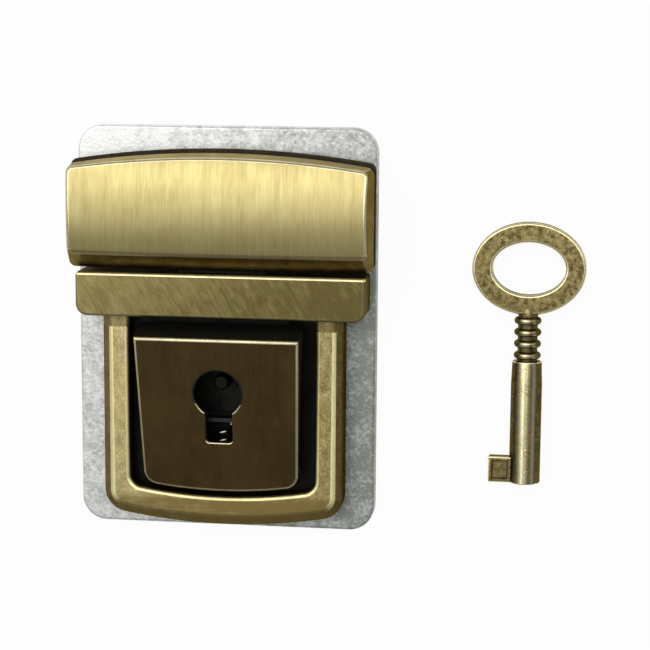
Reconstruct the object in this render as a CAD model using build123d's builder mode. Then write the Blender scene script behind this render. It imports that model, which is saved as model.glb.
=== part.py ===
from build123d import *
import math
import os

# A thumb-tab bag lock with its barrel key, in millimetres.
# +Z points out of the lock's face, +Y towards the flap of the bag, and the origin is the
# centre of the backing plate's rear face. Two fittings make the lock: the case, which stays
# on the bag, and the flap piece, whose tongue slides into the case behind its cross bar.

# Clearances
run_gap = 0.05
rivet_gap = 0.03
seat_gap = 0.1
lift_gap = 0.3

# Backing plate
plate_w = 38.6
plate_h = 52.0
plate_t = 2.4
plate_corner_r = 3.2
plate_edge_r = 0.35

# Levels inside the case, stacked up from the backing plate
tray_t = 0.8
tongue_lift = 2.1
tongue_t = 0.8
leaf_t = 0.4
bar_roof = 1.3
frame_h = 2.8
leather_slot = 1.6
rear_plate_t = 0.8
hinge_lift = 1.8

# Case front: a U frame, and a cross bar over its open end
bar_w = 37.1
bar_low_y = 2.1
bar_depth = 5.65
bar_corner_r = 1.5
bar_top_wall = 1.2
bar_edge_r = 0.4
frame_w = 31.2
frame_foot_w = 3.5
frame_foot_rise = 1.7
frame_corner_r = 2.4
opening_w = 24.1
opening_h = 23.8
opening_foot_rise = 1.2
opening_corner_r = 1.2
opening_edge = 0.3
tray_ledge = 1.0

# Screws that hold the case together from behind, and the free holes for the bag's own screws
case_screw_r = 0.8
case_screw_head_r = 1.6
case_screw_head_h = 0.8
case_screw_length = 5.0
frame_screw_x = 13.6
frame_screw_up = 3.1
bar_screw_in = 2.5
mount_hole_r = 0.8
mount_hole_depth = 2.6
mount_spacing = 28.7
mount_y = -8.0

# Thumb tab, a hollow wedge hinged near its foot
tab_top_w = 20.96
tab_foot_w = 19.98
tab_top_gap = 2.23
tab_foot_gap = 1.2
tab_foot_rise = 0.9
tab_corner_r = 1.5
tab_rise = 5.2
tab_proud = 1.1
tab_lip_run = 1.38
tab_lip_drop = 3.6
tab_wall = 0.9
tab_edge = 0.3

# Keyhole and key post
keyhole_y = -7.3
keyhole_r = 3.05
slot_w = 3.3
slot_reach = 6.5
slot_corner_r = 0.4
keyhole_edge = 0.3
post_r = 1.0
post_up = 1.0
post_h = 3.1
collar_r = 1.8
collar_h = 0.6

# Hinge
hinge_up = 3.9
pin_r = 0.6
pin_inset = 0.2
ear_r = 0.95
ear_t = 0.8
ear_x = 7.0

# Return spring, a coil along the lock under the keyhole's slot
wire = 0.5
coil_r = 0.9
coil_turns = 2.5
coil_length = 4.8
coil_bend = 0.55
lug_t = 0.5
lug_half_w = 3.2
seat_half_w = 1.7
seat_t = 0.6

# Sprung catch, a steel fork with a tooth for the tongue's window
fork_w = 17.2
fork_arm_w = 2.0
fork_top_gap = 1.3
fork_bar_y = 0.2
fork_foot_y = -16.3
fork_foot_l = 2.7
fork_ramp_l = 3.0
tooth_w = 4.4
tooth_h = 0.95
tooth_l = 1.7
tooth_play = 0.15
rivet_r = 0.6
rivet_head_r = 1.0
rivet_head_h = 0.4

# Lock bolt, which slides under one arm of the fork
bolt_throw = 2.4
bolt_y = -1.8
bolt_w = 2.4
bolt_rest_gap = 1.2
keeper_grip = 0.5
talon_w = 3.4
talon_depth = 1.3
keeper_x = 4.2
keeper_w = 1.4
keeper_t = 0.4
keeper_foot = 1.1

# Bowed leaf whose crest presses on the bolt's upper edge
bolt_spring_half_l = 2.9
bolt_spring_bow = 0.4
bolt_spring_t = 0.25
bolt_spring_h = 1.0
bolt_spring_foot_w = 1.8
bolt_spring_foot_l = 1.4

# Flap piece
flap_gap = 0.45
cap_w = 38.12
cap_h = 12.6
cap_top_rise = 1.6
cap_flare = 0.4
cap_lip = 1.8
cap_lip_sag = 0.3
cap_side_h = 2.5
cap_crown_h = 3.5
cap_dome_drop = 1.9
cap_corner_r = 0.9
cap_wall = 0.9
cap_edge_r = 0.3
boss_x = 12.5
boss_r = 1.7
boss_y = 16.2
flap_screw_r = 0.8
flap_screw_head_r = 1.4
flap_screw_head_h = 0.55
flap_screw_length = 3.9
rear_plate_reach = 0.4
tongue_w = 11.0
tongue_tip = 0.35
tongue_root = 6.8
window_w = 6.0
window_l = 2.4
window_edge = 1.25
tongue_corner_r = 0.8
tongue_rivet_x = 3.4
tongue_rivet_in = 2.4

# Barrel key, lying beside the lock
key_x = 38.6
key_shoulder_y = -3.0
barrel_r = 1.97
barrel_top_r = 1.85
barrel_l = 15.7
barrel_bore_r = 1.1
barrel_bore_l = 8.0
barrel_taper_l = 3.0
neck_l = 5.9
neck_r = 1.25
neck_end_r = 0.7
ring_r = 1.72
ring_count = 4
bow_w = 14.3
bow_h = 11.7
bow_hole_w = 9.2
bow_hole_h = 6.7
bow_t = 1.9
bow_edge = 0.3
bit_reach = 2.65
bit_h = 3.3
bit_t = 1.6
bit_edge = 0.25
bit_border = 0.45
bit_sink = 0.15

# Levels and places that follow from the sizes above
floor_z = plate_t + tray_t
frame_face_z = plate_t + frame_h
tongue_z = floor_z + tongue_lift
bar_under_z = tongue_z + tongue_t + lift_gap
bar_face_z = bar_under_z + bar_roof
leaf_top_z = tongue_z - lift_gap
cap_rim_z = tongue_z + leather_slot
hinge_z = floor_z + hinge_lift
tab_top_z = hinge_z + tab_rise
tab_foot_z = frame_face_z + tab_proud
bar_high_y = bar_low_y + bar_depth
pocket_top_y = bar_high_y - bar_top_wall
opening_foot_y = bar_low_y - opening_h
frame_foot_y = opening_foot_y - frame_foot_w
tab_top_y = bar_low_y - tab_top_gap
tab_lip_y = tab_top_y + tab_lip_run
tab_lip_z = tab_top_z - tab_lip_drop
tab_foot_y = opening_foot_y + tab_foot_gap
tab_slope = (tab_top_z - tab_foot_z) / (tab_top_y - tab_foot_y)
hinge_y = opening_foot_y + hinge_up
post_y = keyhole_y + post_up
lug_y = post_y - barrel_r - bit_reach - 2 * seat_gap
coil_top_y = lug_y - lug_t
coil_foot_y = coil_top_y - coil_length
coil_z = floor_z + run_gap + coil_r + wire / 2
tongue_tip_y = bar_low_y - tongue_tip
window_low_y = tongue_tip_y + window_edge
cap_low_y = bar_high_y + flap_gap
cap_peak_y = cap_low_y + cap_lip + cap_h
rear_plate_z = tongue_z - rear_plate_t
tongue_root_y = cap_low_y + tongue_root

bolt_left = -(keeper_x - keeper_w / 2) - keeper_grip - bolt_throw
bolt_right = fork_w / 2 - fork_arm_w - bolt_rest_gap

frame_screws = [(s * frame_screw_x, frame_foot_y + frame_screw_up) for s in (-1, 1)]
bar_screws = [(s * (bar_w / 2 - bar_screw_in), bar_low_y + bar_depth / 2) for s in (-1, 1)]
case_screw_places = frame_screws + bar_screws
mount_places = [(-mount_spacing / 2, mount_y), (mount_spacing / 2, mount_y)]
fork_rivet_places = [
    (s * (fork_w - fork_arm_w) / 2, fork_foot_y + fork_foot_l / 2) for s in (-1, 1)
]
boss_places = [(-boss_x, boss_y), (boss_x, boss_y)]
tongue_rivet_places = [(s * tongue_rivet_x, tongue_root_y - tongue_rivet_in) for s in (-1, 1)]
upward = (Align.CENTER, Align.CENTER, Align.MIN)


def tab_face_z(y):
    """Height of the thumb tab's sloping face at y."""
    return tab_top_z - (tab_top_y - y) * tab_slope


def arched_outline(width, top_y, foot_y, foot_rise, corner_r):
    """Straight top and sides over a foot that bows down in the middle, with rounded corners."""
    half = width / 2
    shoulder_y = foot_y + foot_rise
    with BuildSketch() as outline:
        with BuildLine():
            Polyline((-half, shoulder_y), (-half, top_y), (half, top_y), (half, shoulder_y))
            ThreePointArc((half, shoulder_y), (0, foot_y), (-half, shoulder_y))
        make_face()
        fillet(outline.vertices().group_by(Axis.Y)[0], corner_r)
    return outline.sketch


def pocket_outline(grow, top_y):
    """The case's opening up to top_y, grown on its sides and foot."""
    return arched_outline(
        opening_w + 2 * grow,
        top_y,
        opening_foot_y - grow,
        opening_foot_rise,
        opening_corner_r + grow,
    )


def crowned_outline(half_w, low_y, low_sag, peak_y, corner_r):
    """The flap piece's outline: arched top, upright sides and a lower edge that bows down."""
    corner_y = peak_y - cap_top_rise
    with BuildSketch() as outline:
        with BuildLine():
            Line((-half_w, corner_y), (-half_w, low_y + low_sag))
            ThreePointArc((-half_w, low_y + low_sag), (0, low_y), (half_w, low_y + low_sag))
            Line((half_w, low_y + low_sag), (half_w, corner_y))
            ThreePointArc((half_w, corner_y), (0, peak_y), (-half_w, corner_y))
        make_face()
        fillet(outline.vertices(), corner_r)
    return outline.sketch


def drill(places, z, radius, depth):
    """Plain holes upwards from z."""
    with Locations([(x, y, z) for x, y in places]):
        Cylinder(radius, depth, align=upward, mode=Mode.SUBTRACT)


def countersunk(places, z, radius, head_r, head_h, length, mode=Mode.ADD):
    """Countersunk screws, or the holes for them, upwards from z."""
    with Locations([(x, y, z) for x, y in places]):
        Cone(head_r, radius, head_h, align=upward, mode=mode)
        Cylinder(radius, length, align=upward, mode=mode)


def rivets(places, z, head_z):
    """Rivets flush at z, with a round head that starts at head_z."""
    with Locations([(x, y, z) for x, y in places]):
        Cylinder(rivet_r, head_z - z, align=upward)
    with Locations([(x, y, head_z) for x, y in places]):
        Cone(rivet_head_r, rivet_head_r / 2, rivet_head_h, align=upward)


def screw_slot(places, z, width, depth):
    """The driving slot across each screw's head."""
    with Locations([(x, y, z) for x, y in places]):
        Box(2 * width, width / 5, depth, align=upward, mode=Mode.SUBTRACT)


def tab_wedge(low_z, hinge_low_z, inset):
    """The tab's wedge down to the given heights at its lip and hinge, drawn in by inset."""
    end_y = tab_foot_y - 1
    top_y = tab_lip_y + 2 * tab_wall
    foot_half = tab_foot_w / 2
    spread = (tab_top_w / 2 - foot_half) / (tab_top_y - tab_foot_y)
    top_half = tab_top_w / 2 + spread * (top_y - tab_top_y)
    shoulder_y = tab_foot_y + tab_foot_rise
    with BuildPart() as wedge:
        with BuildSketch(Plane.YZ.offset(-tab_top_w)) as side:
            with BuildLine():
                Polyline(
                    (tab_top_y, tab_top_z),
                    (tab_lip_y, tab_lip_z),
                    (tab_lip_y, low_z),
                    (hinge_y + ear_r, hinge_low_z),
                    (end_y, hinge_low_z),
                    (end_y, tab_face_z(end_y)),
                    close=True,
                )
            make_face()
            if inset:
                offset(amount=-inset, kind=Kind.INTERSECTION)
        extrude(amount=2 * tab_top_w)
        with BuildSketch(Plane.XY) as front:
            with BuildLine():
                Polyline(
                    (-foot_half, shoulder_y),
                    (-top_half, top_y),
                    (top_half, top_y),
                    (foot_half, shoulder_y),
                )
                ThreePointArc((foot_half, shoulder_y), (0, tab_foot_y), (-foot_half, shoulder_y))
            make_face()
            fillet(front.vertices().group_by(Axis.Y)[0], tab_corner_r)
            if inset:
                offset(amount=-inset, kind=Kind.INTERSECTION)
        extrude(amount=2 * tab_top_z, mode=Mode.INTERSECT)
    return wedge.part


def cap_form(inset):
    """The flap cap's domed form, or with an inset the hollow inside it."""
    crown_z = cap_rim_z + cap_crown_h - inset
    dome_low_y = cap_low_y - cap_lip
    dome_high_y = cap_peak_y + cap_lip
    top_h = cap_crown_h + cap_wall
    climb = top_h / cap_side_h
    draw_in = cap_flare * (1 - climb)
    half = cap_w / 2 - inset
    low_y = cap_low_y + inset
    peak_y = cap_peak_y - inset
    high_low_y = low_y + cap_lip * climb
    rim = crowned_outline(half + cap_flare, low_y, cap_lip_sag / 2, peak_y + cap_flare, cap_corner_r)
    high = crowned_outline(half + draw_in, high_low_y, cap_lip_sag, peak_y + draw_in, cap_corner_r)
    with BuildPart() as form:
        with BuildSketch(Plane.XY.offset(cap_rim_z)):
            add(rim)
        with BuildSketch(Plane.XY.offset(cap_rim_z + top_h)):
            add(high)
        loft(ruled=True)
        with BuildSketch(Plane.YZ.offset(-cap_w)):
            with BuildLine():
                ThreePointArc(
                    (dome_low_y, crown_z - cap_dome_drop),
                    ((dome_low_y + dome_high_y) / 2, crown_z),
                    (dome_high_y, crown_z - cap_dome_drop),
                )
                Polyline(
                    (dome_high_y, crown_z - cap_dome_drop),
                    (dome_high_y, cap_rim_z),
                    (dome_low_y, cap_rim_z),
                    (dome_low_y, crown_z - cap_dome_drop),
                )
            make_face()
        extrude(amount=2 * cap_w, mode=Mode.INTERSECT)
    return form.part


# Backing plate
with BuildPart() as backing_plate:
    with BuildSketch():
        RectangleRounded(plate_w, plate_h, plate_corner_r)
    extrude(amount=plate_t)
    fillet(backing_plate.faces().sort_by(Axis.Z)[-1].edges(), plate_edge_r)
    countersunk(
        case_screw_places,
        0,
        case_screw_r + run_gap,
        case_screw_head_r + run_gap,
        case_screw_head_h,
        2 * plate_t,
        Mode.SUBTRACT,
    )
    drill(mount_places, 0, mount_hole_r, 2 * plate_t)

# Case front, one casting of frame and cross bar
with BuildPart() as case_front:
    with BuildSketch(Plane.XY.offset(plate_t)):
        add(arched_outline(frame_w, pocket_top_y, frame_foot_y, frame_foot_rise, frame_corner_r))
    extrude(amount=frame_h)
    with BuildSketch(Plane.XY.offset(plate_t)):
        add(pocket_outline(0, bar_low_y + bar_depth / 3))
    extrude(amount=frame_h, mode=Mode.SUBTRACT)
    frame_face = case_front.faces().sort_by(Axis.Z)[-1]
    chamfer(frame_face.inner_wires()[0].edges(), opening_edge)
    with BuildSketch(Plane.XY.offset(plate_t)) as bar_outline:
        with Locations((0, bar_low_y + bar_depth / 2)):
            Rectangle(bar_w, bar_depth)
        fillet(bar_outline.vertices().group_by(Axis.Y)[0], bar_corner_r)
        fillet(bar_outline.vertices().group_by(Axis.Y)[-1], bar_edge_r)
    extrude(amount=bar_face_z - plate_t)
    fillet(case_front.faces().sort_by(Axis.Z)[-1].edges(), bar_edge_r)
    with BuildSketch(Plane.XY.offset(plate_t)):
        add(pocket_outline(0, pocket_top_y))
    extrude(amount=bar_under_z - plate_t, mode=Mode.SUBTRACT)
    with BuildSketch(Plane.XY.offset(plate_t)):
        add(pocket_outline(tray_ledge, pocket_top_y))
    extrude(amount=tray_t, mode=Mode.SUBTRACT)
    with Locations((0, bar_high_y, rear_plate_z)):
        Box(
            tongue_w + 4 * seat_gap,
            4 * bar_top_wall,
            bar_under_z - rear_plate_z,
            align=upward,
            mode=Mode.SUBTRACT,
        )
    drill(case_screw_places, plate_t, case_screw_r + rivet_gap, case_screw_length - plate_t + seat_gap)
    drill(mount_places, plate_t, mount_hole_r, mount_hole_depth)

# Case back, a steel tray with ears for the hinge and a seat for the return spring
with BuildPart() as case_back:
    with BuildSketch(Plane.XY.offset(plate_t)):
        add(
            arched_outline(
                opening_w + 2 * (tray_ledge - seat_gap),
                pocket_top_y - seat_gap,
                opening_foot_y - tray_ledge + seat_gap,
                opening_foot_rise,
                opening_corner_r + tray_ledge - seat_gap,
            )
        )
    extrude(amount=tray_t)
    for side in (-1, 1):
        with BuildSketch(Plane.YZ.offset(side * (ear_x + ear_t / 2) - ear_t / 2)):
            with Locations((hinge_y, floor_z)):
                Rectangle(2 * ear_r, hinge_z - floor_z, align=(Align.CENTER, Align.MIN))
            with Locations((hinge_y, hinge_z)):
                Circle(ear_r)
                Circle(pin_r + rivet_gap, mode=Mode.SUBTRACT)
        extrude(amount=ear_t)
    with Locations((0, coil_foot_y - seat_t / 2, plate_t)):
        Box(2 * seat_half_w, seat_t, coil_z + coil_r + seat_gap - plate_t, align=upward)
    with Locations((0, lug_y - lug_t / 2, plate_t)):
        Box(
            2 * (lug_half_w + lift_gap),
            lug_t + 4 * lift_gap,
            tray_t,
            align=upward,
            mode=Mode.SUBTRACT,
        )
    drill([(0, post_y)], plate_t, post_r + rivet_gap, tray_t)
    drill(fork_rivet_places, plate_t, rivet_r + rivet_gap, tray_t)

# Key post
with BuildPart() as key_post:
    with Locations((0, post_y, plate_t)):
        Cylinder(post_r, tray_t + post_h, align=upward)
    fillet(key_post.faces().sort_by(Axis.Z)[-1].edges(), post_r / 3)
    with Locations((0, post_y, floor_z)):
        Cylinder(collar_r, collar_h, align=upward)

# Screws that hold plate and casting together
with BuildPart() as case_screws:
    countersunk(case_screw_places, 0, case_screw_r, case_screw_head_r, case_screw_head_h, case_screw_length)
    screw_slot(case_screw_places, 0, case_screw_head_r, case_screw_head_h / 2)

# Hinge pin
pin_half_l = tab_foot_w / 2 - pin_inset
with BuildPart() as hinge_pin:
    with BuildSketch(Plane.YZ.offset(-pin_half_l)):
        with Locations((hinge_y, hinge_z)):
            Circle(pin_r)
    extrude(amount=2 * pin_half_l)

# Thumb tab
skirt_lip_z = leaf_top_z + 3 * lift_gap
skirt_hinge_z = floor_z + lift_gap
rib_x = fork_w / 2 - fork_arm_w / 2
with BuildPart() as thumb_tab:
    add(tab_wedge(skirt_lip_z, skirt_hinge_z, 0))
    tab_face = thumb_tab.faces().filter_by(lambda f: f.normal_at().Z > 0.5)[0]
    chamfer(tab_face.edges(), tab_edge)
    add(tab_wedge(-tab_top_z, -tab_top_z, tab_wall), mode=Mode.SUBTRACT)
    for side in (-1, 1):
        with Locations((side * rib_x, tab_lip_y - tab_wall, skirt_lip_z)):
            Box(
                fork_arm_w - 8 * seat_gap,
                tab_wall,
                tab_lip_z - skirt_lip_z + tab_wall,
                align=(Align.CENTER, Align.CENTER, Align.MIN),
            )
    lug_low_z = floor_z + lift_gap
    with Locations((0, lug_y - lug_t / 2, lug_low_z)):
        Box(2 * lug_half_w, lug_t, tab_face_z(lug_y) - tab_wall / 2 - lug_low_z, align=upward)
    with BuildSketch(Plane.XY.offset(coil_z + coil_r)) as keyhole:
        with Locations((0, keyhole_y)):
            Circle(keyhole_r)
        with Locations((0, keyhole_y - slot_reach)):
            Rectangle(slot_w, slot_reach, align=(Align.CENTER, Align.MIN))
        fillet(keyhole.vertices().group_by(Axis.Y)[0], slot_corner_r)
    extrude(amount=tab_top_z, mode=Mode.SUBTRACT)
    tab_face = thumb_tab.faces().filter_by(lambda f: f.normal_at().Z > 0.5).sort_by(SortBy.AREA)[-1]
    chamfer(tab_face.inner_wires()[0].edges(), keyhole_edge)
    with BuildSketch(Plane.YZ.offset(-tab_top_w)):
        with Locations((hinge_y, hinge_z)):
            Circle(pin_r + run_gap)
    extrude(amount=2 * tab_top_w, mode=Mode.SUBTRACT)
    for side in (-1, 1):
        with BuildSketch(Plane.YZ.offset(side * (ear_x + ear_t / 2) - ear_t / 2 - seat_gap)):
            with Locations((hinge_y, hinge_z)):
                Circle(ear_r + seat_gap)
        extrude(amount=ear_t + 2 * seat_gap, mode=Mode.SUBTRACT)


def biarc(start, start_way, end, end_way):
    """Two arcs from start to end that leave and arrive in the given directions."""
    chord = end - start
    ways = start_way + end_way
    bend = 2 * (1 - start_way.dot(end_way))
    reach = chord.dot(ways)
    handle = (math.sqrt(reach**2 + bend * chord.dot(chord)) - reach) / bend
    first = start + start_way * handle
    last = end - end_way * handle
    middle = (first + last) * 0.5
    TangentArc(start, middle, tangent=start_way)
    TangentArc(middle, end, tangent=(last - first).normalized())


def coil_point(turn):
    """A point of the coil's centre line after so many turns."""
    angle = 2 * math.pi * turn
    y = coil_top_y - wire - coil_bend - coil_pitch * turn
    return Vector(coil_r * math.cos(angle), y, coil_z + coil_r * math.sin(angle))


def coil_way(turn):
    """The direction of the coil's wire after so many turns."""
    angle = 2 * math.pi * turn
    around = 2 * math.pi * coil_r
    return Vector(-around * math.sin(angle), -coil_pitch, around * math.cos(angle)).normalized()


def least_gap(path, diameter):
    """The least gap between turns of a wire, measured on points along its centre line."""
    steps = 400
    points = [path.position_at(n / steps) for n in range(steps + 1)]
    apart = int(math.pi * diameter / (path.length / steps)) + 1
    gaps = [
        (points[m] - points[n]).length
        for n in range(steps + 1)
        for m in range(n + apart, steps + 1)
    ]
    return min(gaps) - diameter


# Return spring
coil_pitch = (coil_length - 2 * (wire + coil_bend)) / coil_turns
quarters = int(4 * coil_turns)
rearwards = Vector(0, -1, 0)
coil_start = coil_point(0) + Vector(0, coil_bend, -coil_bend)
coil_end = coil_point(coil_turns) + Vector(0, -coil_bend, -coil_bend)
with BuildPart() as tab_return_spring:
    with BuildLine() as coil_line:
        Line(coil_start - rearwards * wire, coil_start)
        biarc(coil_start, rearwards, coil_point(0), coil_way(0))
        for quarter in range(quarters):
            here = quarter / 4
            there = here + 1 / 4
            biarc(coil_point(here), coil_way(here), coil_point(there), coil_way(there))
        biarc(coil_point(coil_turns), coil_way(coil_turns), coil_end, rearwards)
        Line(coil_end, coil_end + rearwards * wire)
    with BuildSketch(Plane(origin=coil_line.line @ 0, z_dir=coil_line.line % 0)):
        Circle(wire / 2)
    sweep()
print(f"return spring: least gap to itself {least_gap(coil_line.wires()[0], wire):.2f} mm")

# Sprung catch
fork_half = fork_w / 2
ramp_low_y = fork_foot_y + fork_foot_l
ramp_high_y = ramp_low_y + fork_ramp_l
fork_top_y = pocket_top_y - fork_top_gap
leaf_low_z = leaf_top_z - leaf_t
tooth_y = window_low_y + tooth_play
with BuildPart() as catch_spring:
    with BuildSketch(Plane.YZ.offset(-fork_half)):
        with BuildLine():
            Polyline(
                (fork_foot_y, floor_z),
                (ramp_low_y, floor_z),
                (ramp_high_y, leaf_low_z),
                (fork_top_y, leaf_low_z),
                (fork_top_y, leaf_top_z),
                (ramp_high_y, leaf_top_z),
                (ramp_low_y, floor_z + leaf_t),
                (fork_foot_y, floor_z + leaf_t),
                close=True,
            )
        make_face()
    extrude(amount=fork_w)
    with Locations((0, fork_bar_y, floor_z)):
        Box(
            fork_w - 2 * fork_arm_w,
            fork_bar_y - fork_foot_y,
            tongue_lift,
            align=(Align.CENTER, Align.MAX, Align.MIN),
            mode=Mode.SUBTRACT,
        )
    with BuildSketch(Plane.YZ.offset(-tooth_w / 2)):
        with BuildLine():
            Polyline(
                (tooth_y, leaf_low_z),
                (tooth_y, leaf_top_z + tooth_h),
                (tooth_y + leaf_t, leaf_top_z + tooth_h),
                (tooth_y + tooth_l, leaf_top_z),
                (tooth_y + tooth_l, leaf_low_z),
                close=True,
            )
        make_face()
    extrude(amount=tooth_w)
    drill(fork_rivet_places, floor_z, rivet_r + rivet_gap, leaf_t)

# Rivets at the catch's feet
with BuildPart() as catch_rivets:
    rivets(fork_rivet_places, plate_t, floor_z + leaf_t)

# Lock bolt
bolt_z = floor_z + run_gap
bolt_t = leaf_low_z - seat_gap - bolt_z
with BuildPart() as lock_bolt:
    with BuildSketch(Plane.XY.offset(bolt_z)) as bolt_outline:
        with Locations(((bolt_left + bolt_right) / 2, bolt_y)):
            Rectangle(bolt_right - bolt_left, bolt_w)
        chamfer(bolt_outline.vertices().group_by(Axis.X)[-1], talon_depth / 3)
        with Locations((0, bolt_y - bolt_w / 2)):
            Rectangle(talon_w, talon_depth, align=(Align.CENTER, Align.MIN), mode=Mode.SUBTRACT)
    extrude(amount=bolt_t)

# Keepers that bridge the bolt
keeper_under_z = bolt_z + bolt_t + run_gap
keeper_span = bolt_w + 2 * run_gap
with BuildPart() as bolt_keepers:
    for side in (-1, 1):
        with BuildSketch(Plane.YZ.offset(side * keeper_x - keeper_w / 2)):
            with BuildLine():
                half_in = keeper_span / 2
                half_out = half_in + keeper_t
                half_foot = half_out + keeper_foot - keeper_t
                top_z = keeper_under_z + keeper_t
                Polyline(
                    (bolt_y - half_foot, floor_z),
                    (bolt_y - half_in, floor_z),
                    (bolt_y - half_in, keeper_under_z),
                    (bolt_y + half_in, keeper_under_z),
                    (bolt_y + half_in, floor_z),
                    (bolt_y + half_foot, floor_z),
                    (bolt_y + half_foot, floor_z + keeper_t),
                    (bolt_y + half_out, floor_z + keeper_t),
                    (bolt_y + half_out, top_z),
                    (bolt_y - half_out, top_z),
                    (bolt_y - half_out, floor_z + keeper_t),
                    (bolt_y - half_foot, floor_z + keeper_t),
                    close=True,
                )
            make_face()
        extrude(amount=keeper_w)

# Spring that holds the bolt where it was left
crest_y = bolt_y + bolt_w / 2 + run_gap
leaf_end_y = crest_y + bolt_spring_bow
leaf_back_y = leaf_end_y + bolt_spring_t
half_l = bolt_spring_half_l
with BuildPart() as bolt_spring:
    with BuildSketch(Plane.XY.offset(floor_z)):
        with BuildLine():
            ThreePointArc((-half_l, leaf_end_y), (0, crest_y), (half_l, leaf_end_y))
            Line((half_l, leaf_end_y), (half_l, leaf_back_y))
            ThreePointArc((half_l, leaf_back_y), (0, crest_y + bolt_spring_t), (-half_l, leaf_back_y))
            Line((-half_l, leaf_back_y), (-half_l, leaf_end_y))
        make_face()
    extrude(amount=bolt_spring_h)
    with Locations((half_l, leaf_end_y, floor_z)):
        Box(
            bolt_spring_foot_w,
            bolt_spring_foot_l,
            bolt_spring_t,
            align=(Align.MAX, Align.MIN, Align.MIN),
        )

# Flap cap
with BuildPart() as flap_cap:
    add(cap_form(0))
    fillet(flap_cap.faces().sort_by(Axis.Z)[-1].edges(), cap_edge_r)
    add(cap_form(cap_wall), mode=Mode.SUBTRACT)
    with Locations([(x, y, tongue_z) for x, y in boss_places]):
        Cylinder(boss_r, cap_rim_z + cap_side_h - tongue_z, align=upward)
    drill(boss_places, tongue_z, flap_screw_r + rivet_gap, flap_screw_length)

# Rear plate of the flap piece
with BuildPart() as flap_rear_plate:
    with BuildSketch(Plane.XY.offset(rear_plate_z)):
        add(
            crowned_outline(
                cap_w / 2 + cap_flare,
                cap_low_y + seat_gap,
                cap_lip_sag / 2,
                cap_peak_y + cap_flare + rear_plate_reach,
                cap_corner_r,
            )
        )
    extrude(amount=rear_plate_t)
    countersunk(
        boss_places,
        rear_plate_z,
        flap_screw_r + run_gap,
        flap_screw_head_r + run_gap,
        flap_screw_head_h,
        2 * rear_plate_t,
        Mode.SUBTRACT,
    )
    drill(tongue_rivet_places, rear_plate_z, rivet_r + rivet_gap, rear_plate_t)

# Screws that clamp the flap's leather
with BuildPart() as flap_screws:
    countersunk(
        boss_places, rear_plate_z, flap_screw_r, flap_screw_head_r, flap_screw_head_h, flap_screw_length
    )
    screw_slot(boss_places, rear_plate_z, flap_screw_head_r, flap_screw_head_h / 2)

# Tongue
with BuildPart() as tongue:
    with BuildSketch(Plane.XY.offset(tongue_z)) as tongue_outline:
        with Locations((0, tongue_tip_y)):
            Rectangle(tongue_w, tongue_root_y - tongue_tip_y, align=(Align.CENTER, Align.MIN))
        fillet(tongue_outline.vertices(), tongue_corner_r)
        with Locations((0, window_low_y)):
            Rectangle(window_w, window_l, align=(Align.CENTER, Align.MIN), mode=Mode.SUBTRACT)
    extrude(amount=tongue_t)
    tip_edge = tongue.faces().sort_by(Axis.Z)[0].edges().sort_by(Axis.Y)[0]
    chamfer(tip_edge, tongue_t / 2)
    drill(tongue_rivet_places, tongue_z, rivet_r + rivet_gap, tongue_t)

# Rivets that hold the tongue to the rear plate
with BuildPart() as tongue_rivets:
    rivets(tongue_rivet_places, rear_plate_z, tongue_z + tongue_t)

# Key, tipped so that its barrel's shoulder and its last neck ring both touch the ground
ring_pitch = neck_l / ring_count
last_ring_y = (ring_count - 0.5) * ring_pitch
key_tip = math.atan((barrel_top_r - ring_r) / last_ring_y)
key_plane = Plane(
    origin=(key_x, key_shoulder_y, barrel_top_r * math.cos(key_tip)),
    x_dir=(1, 0, 0),
    z_dir=(0, math.sin(key_tip), math.cos(key_tip)),
)
key_axis = Axis(key_plane.origin, key_plane.y_dir)
neck_end_y = neck_l + (bow_h - bow_hole_h) / 4
with BuildPart() as key:
    with BuildSketch(key_plane.offset(-bow_t / 2)):
        with Locations((0, neck_l + bow_h / 2)):
            Ellipse(bow_w / 2, bow_h / 2)
            Ellipse(bow_hole_w / 2, bow_hole_h / 2, mode=Mode.SUBTRACT)
    extrude(amount=bow_t)
    bow_faces = key.faces().filter_by(lambda f: abs(f.normal_at().dot(key_plane.z_dir)) > 0.9)
    chamfer(bow_faces.edges(), bow_edge)
    with BuildSketch(key_plane):
        with BuildLine():
            Polyline(
                (0, -barrel_l),
                (barrel_r, -barrel_l),
                (barrel_r, -barrel_taper_l),
                (barrel_top_r, 0),
                (neck_r, 0),
                (neck_r, neck_l),
                (neck_end_r, neck_end_y),
                (0, neck_end_y),
                close=True,
            )
        make_face()
    revolve(axis=key_axis)
    with BuildSketch(key_plane):
        for ring in range(ring_count):
            with Locations((neck_r, (ring + 0.5) * ring_pitch)):
                Circle(ring_r - neck_r)
    revolve(axis=key_axis)
    with BuildSketch(key_plane.offset(-bit_t / 2)) as bit_outline:
        with Locations((0, -barrel_l)):
            Rectangle(barrel_r + bit_reach, bit_h, align=(Align.MAX, Align.MIN))
        fillet(bit_outline.vertices().group_by(Axis.X)[0], bit_edge)
    extrude(amount=bit_t)
    for side in (-1, 1):
        with BuildSketch(key_plane.offset(side * (bit_t / 2 - bit_sink))):
            with Locations((-barrel_r - bit_reach / 2, -barrel_l + bit_h / 2)):
                Rectangle(bit_reach - 2 * bit_border, bit_h - 2 * bit_border)
        extrude(amount=side * bit_sink, mode=Mode.SUBTRACT)
    with BuildSketch(key_plane):
        with Locations((0, -barrel_l)):
            Rectangle(barrel_bore_r, barrel_bore_l, align=(Align.MIN, Align.MIN))
    revolve(axis=key_axis, mode=Mode.SUBTRACT)

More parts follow.
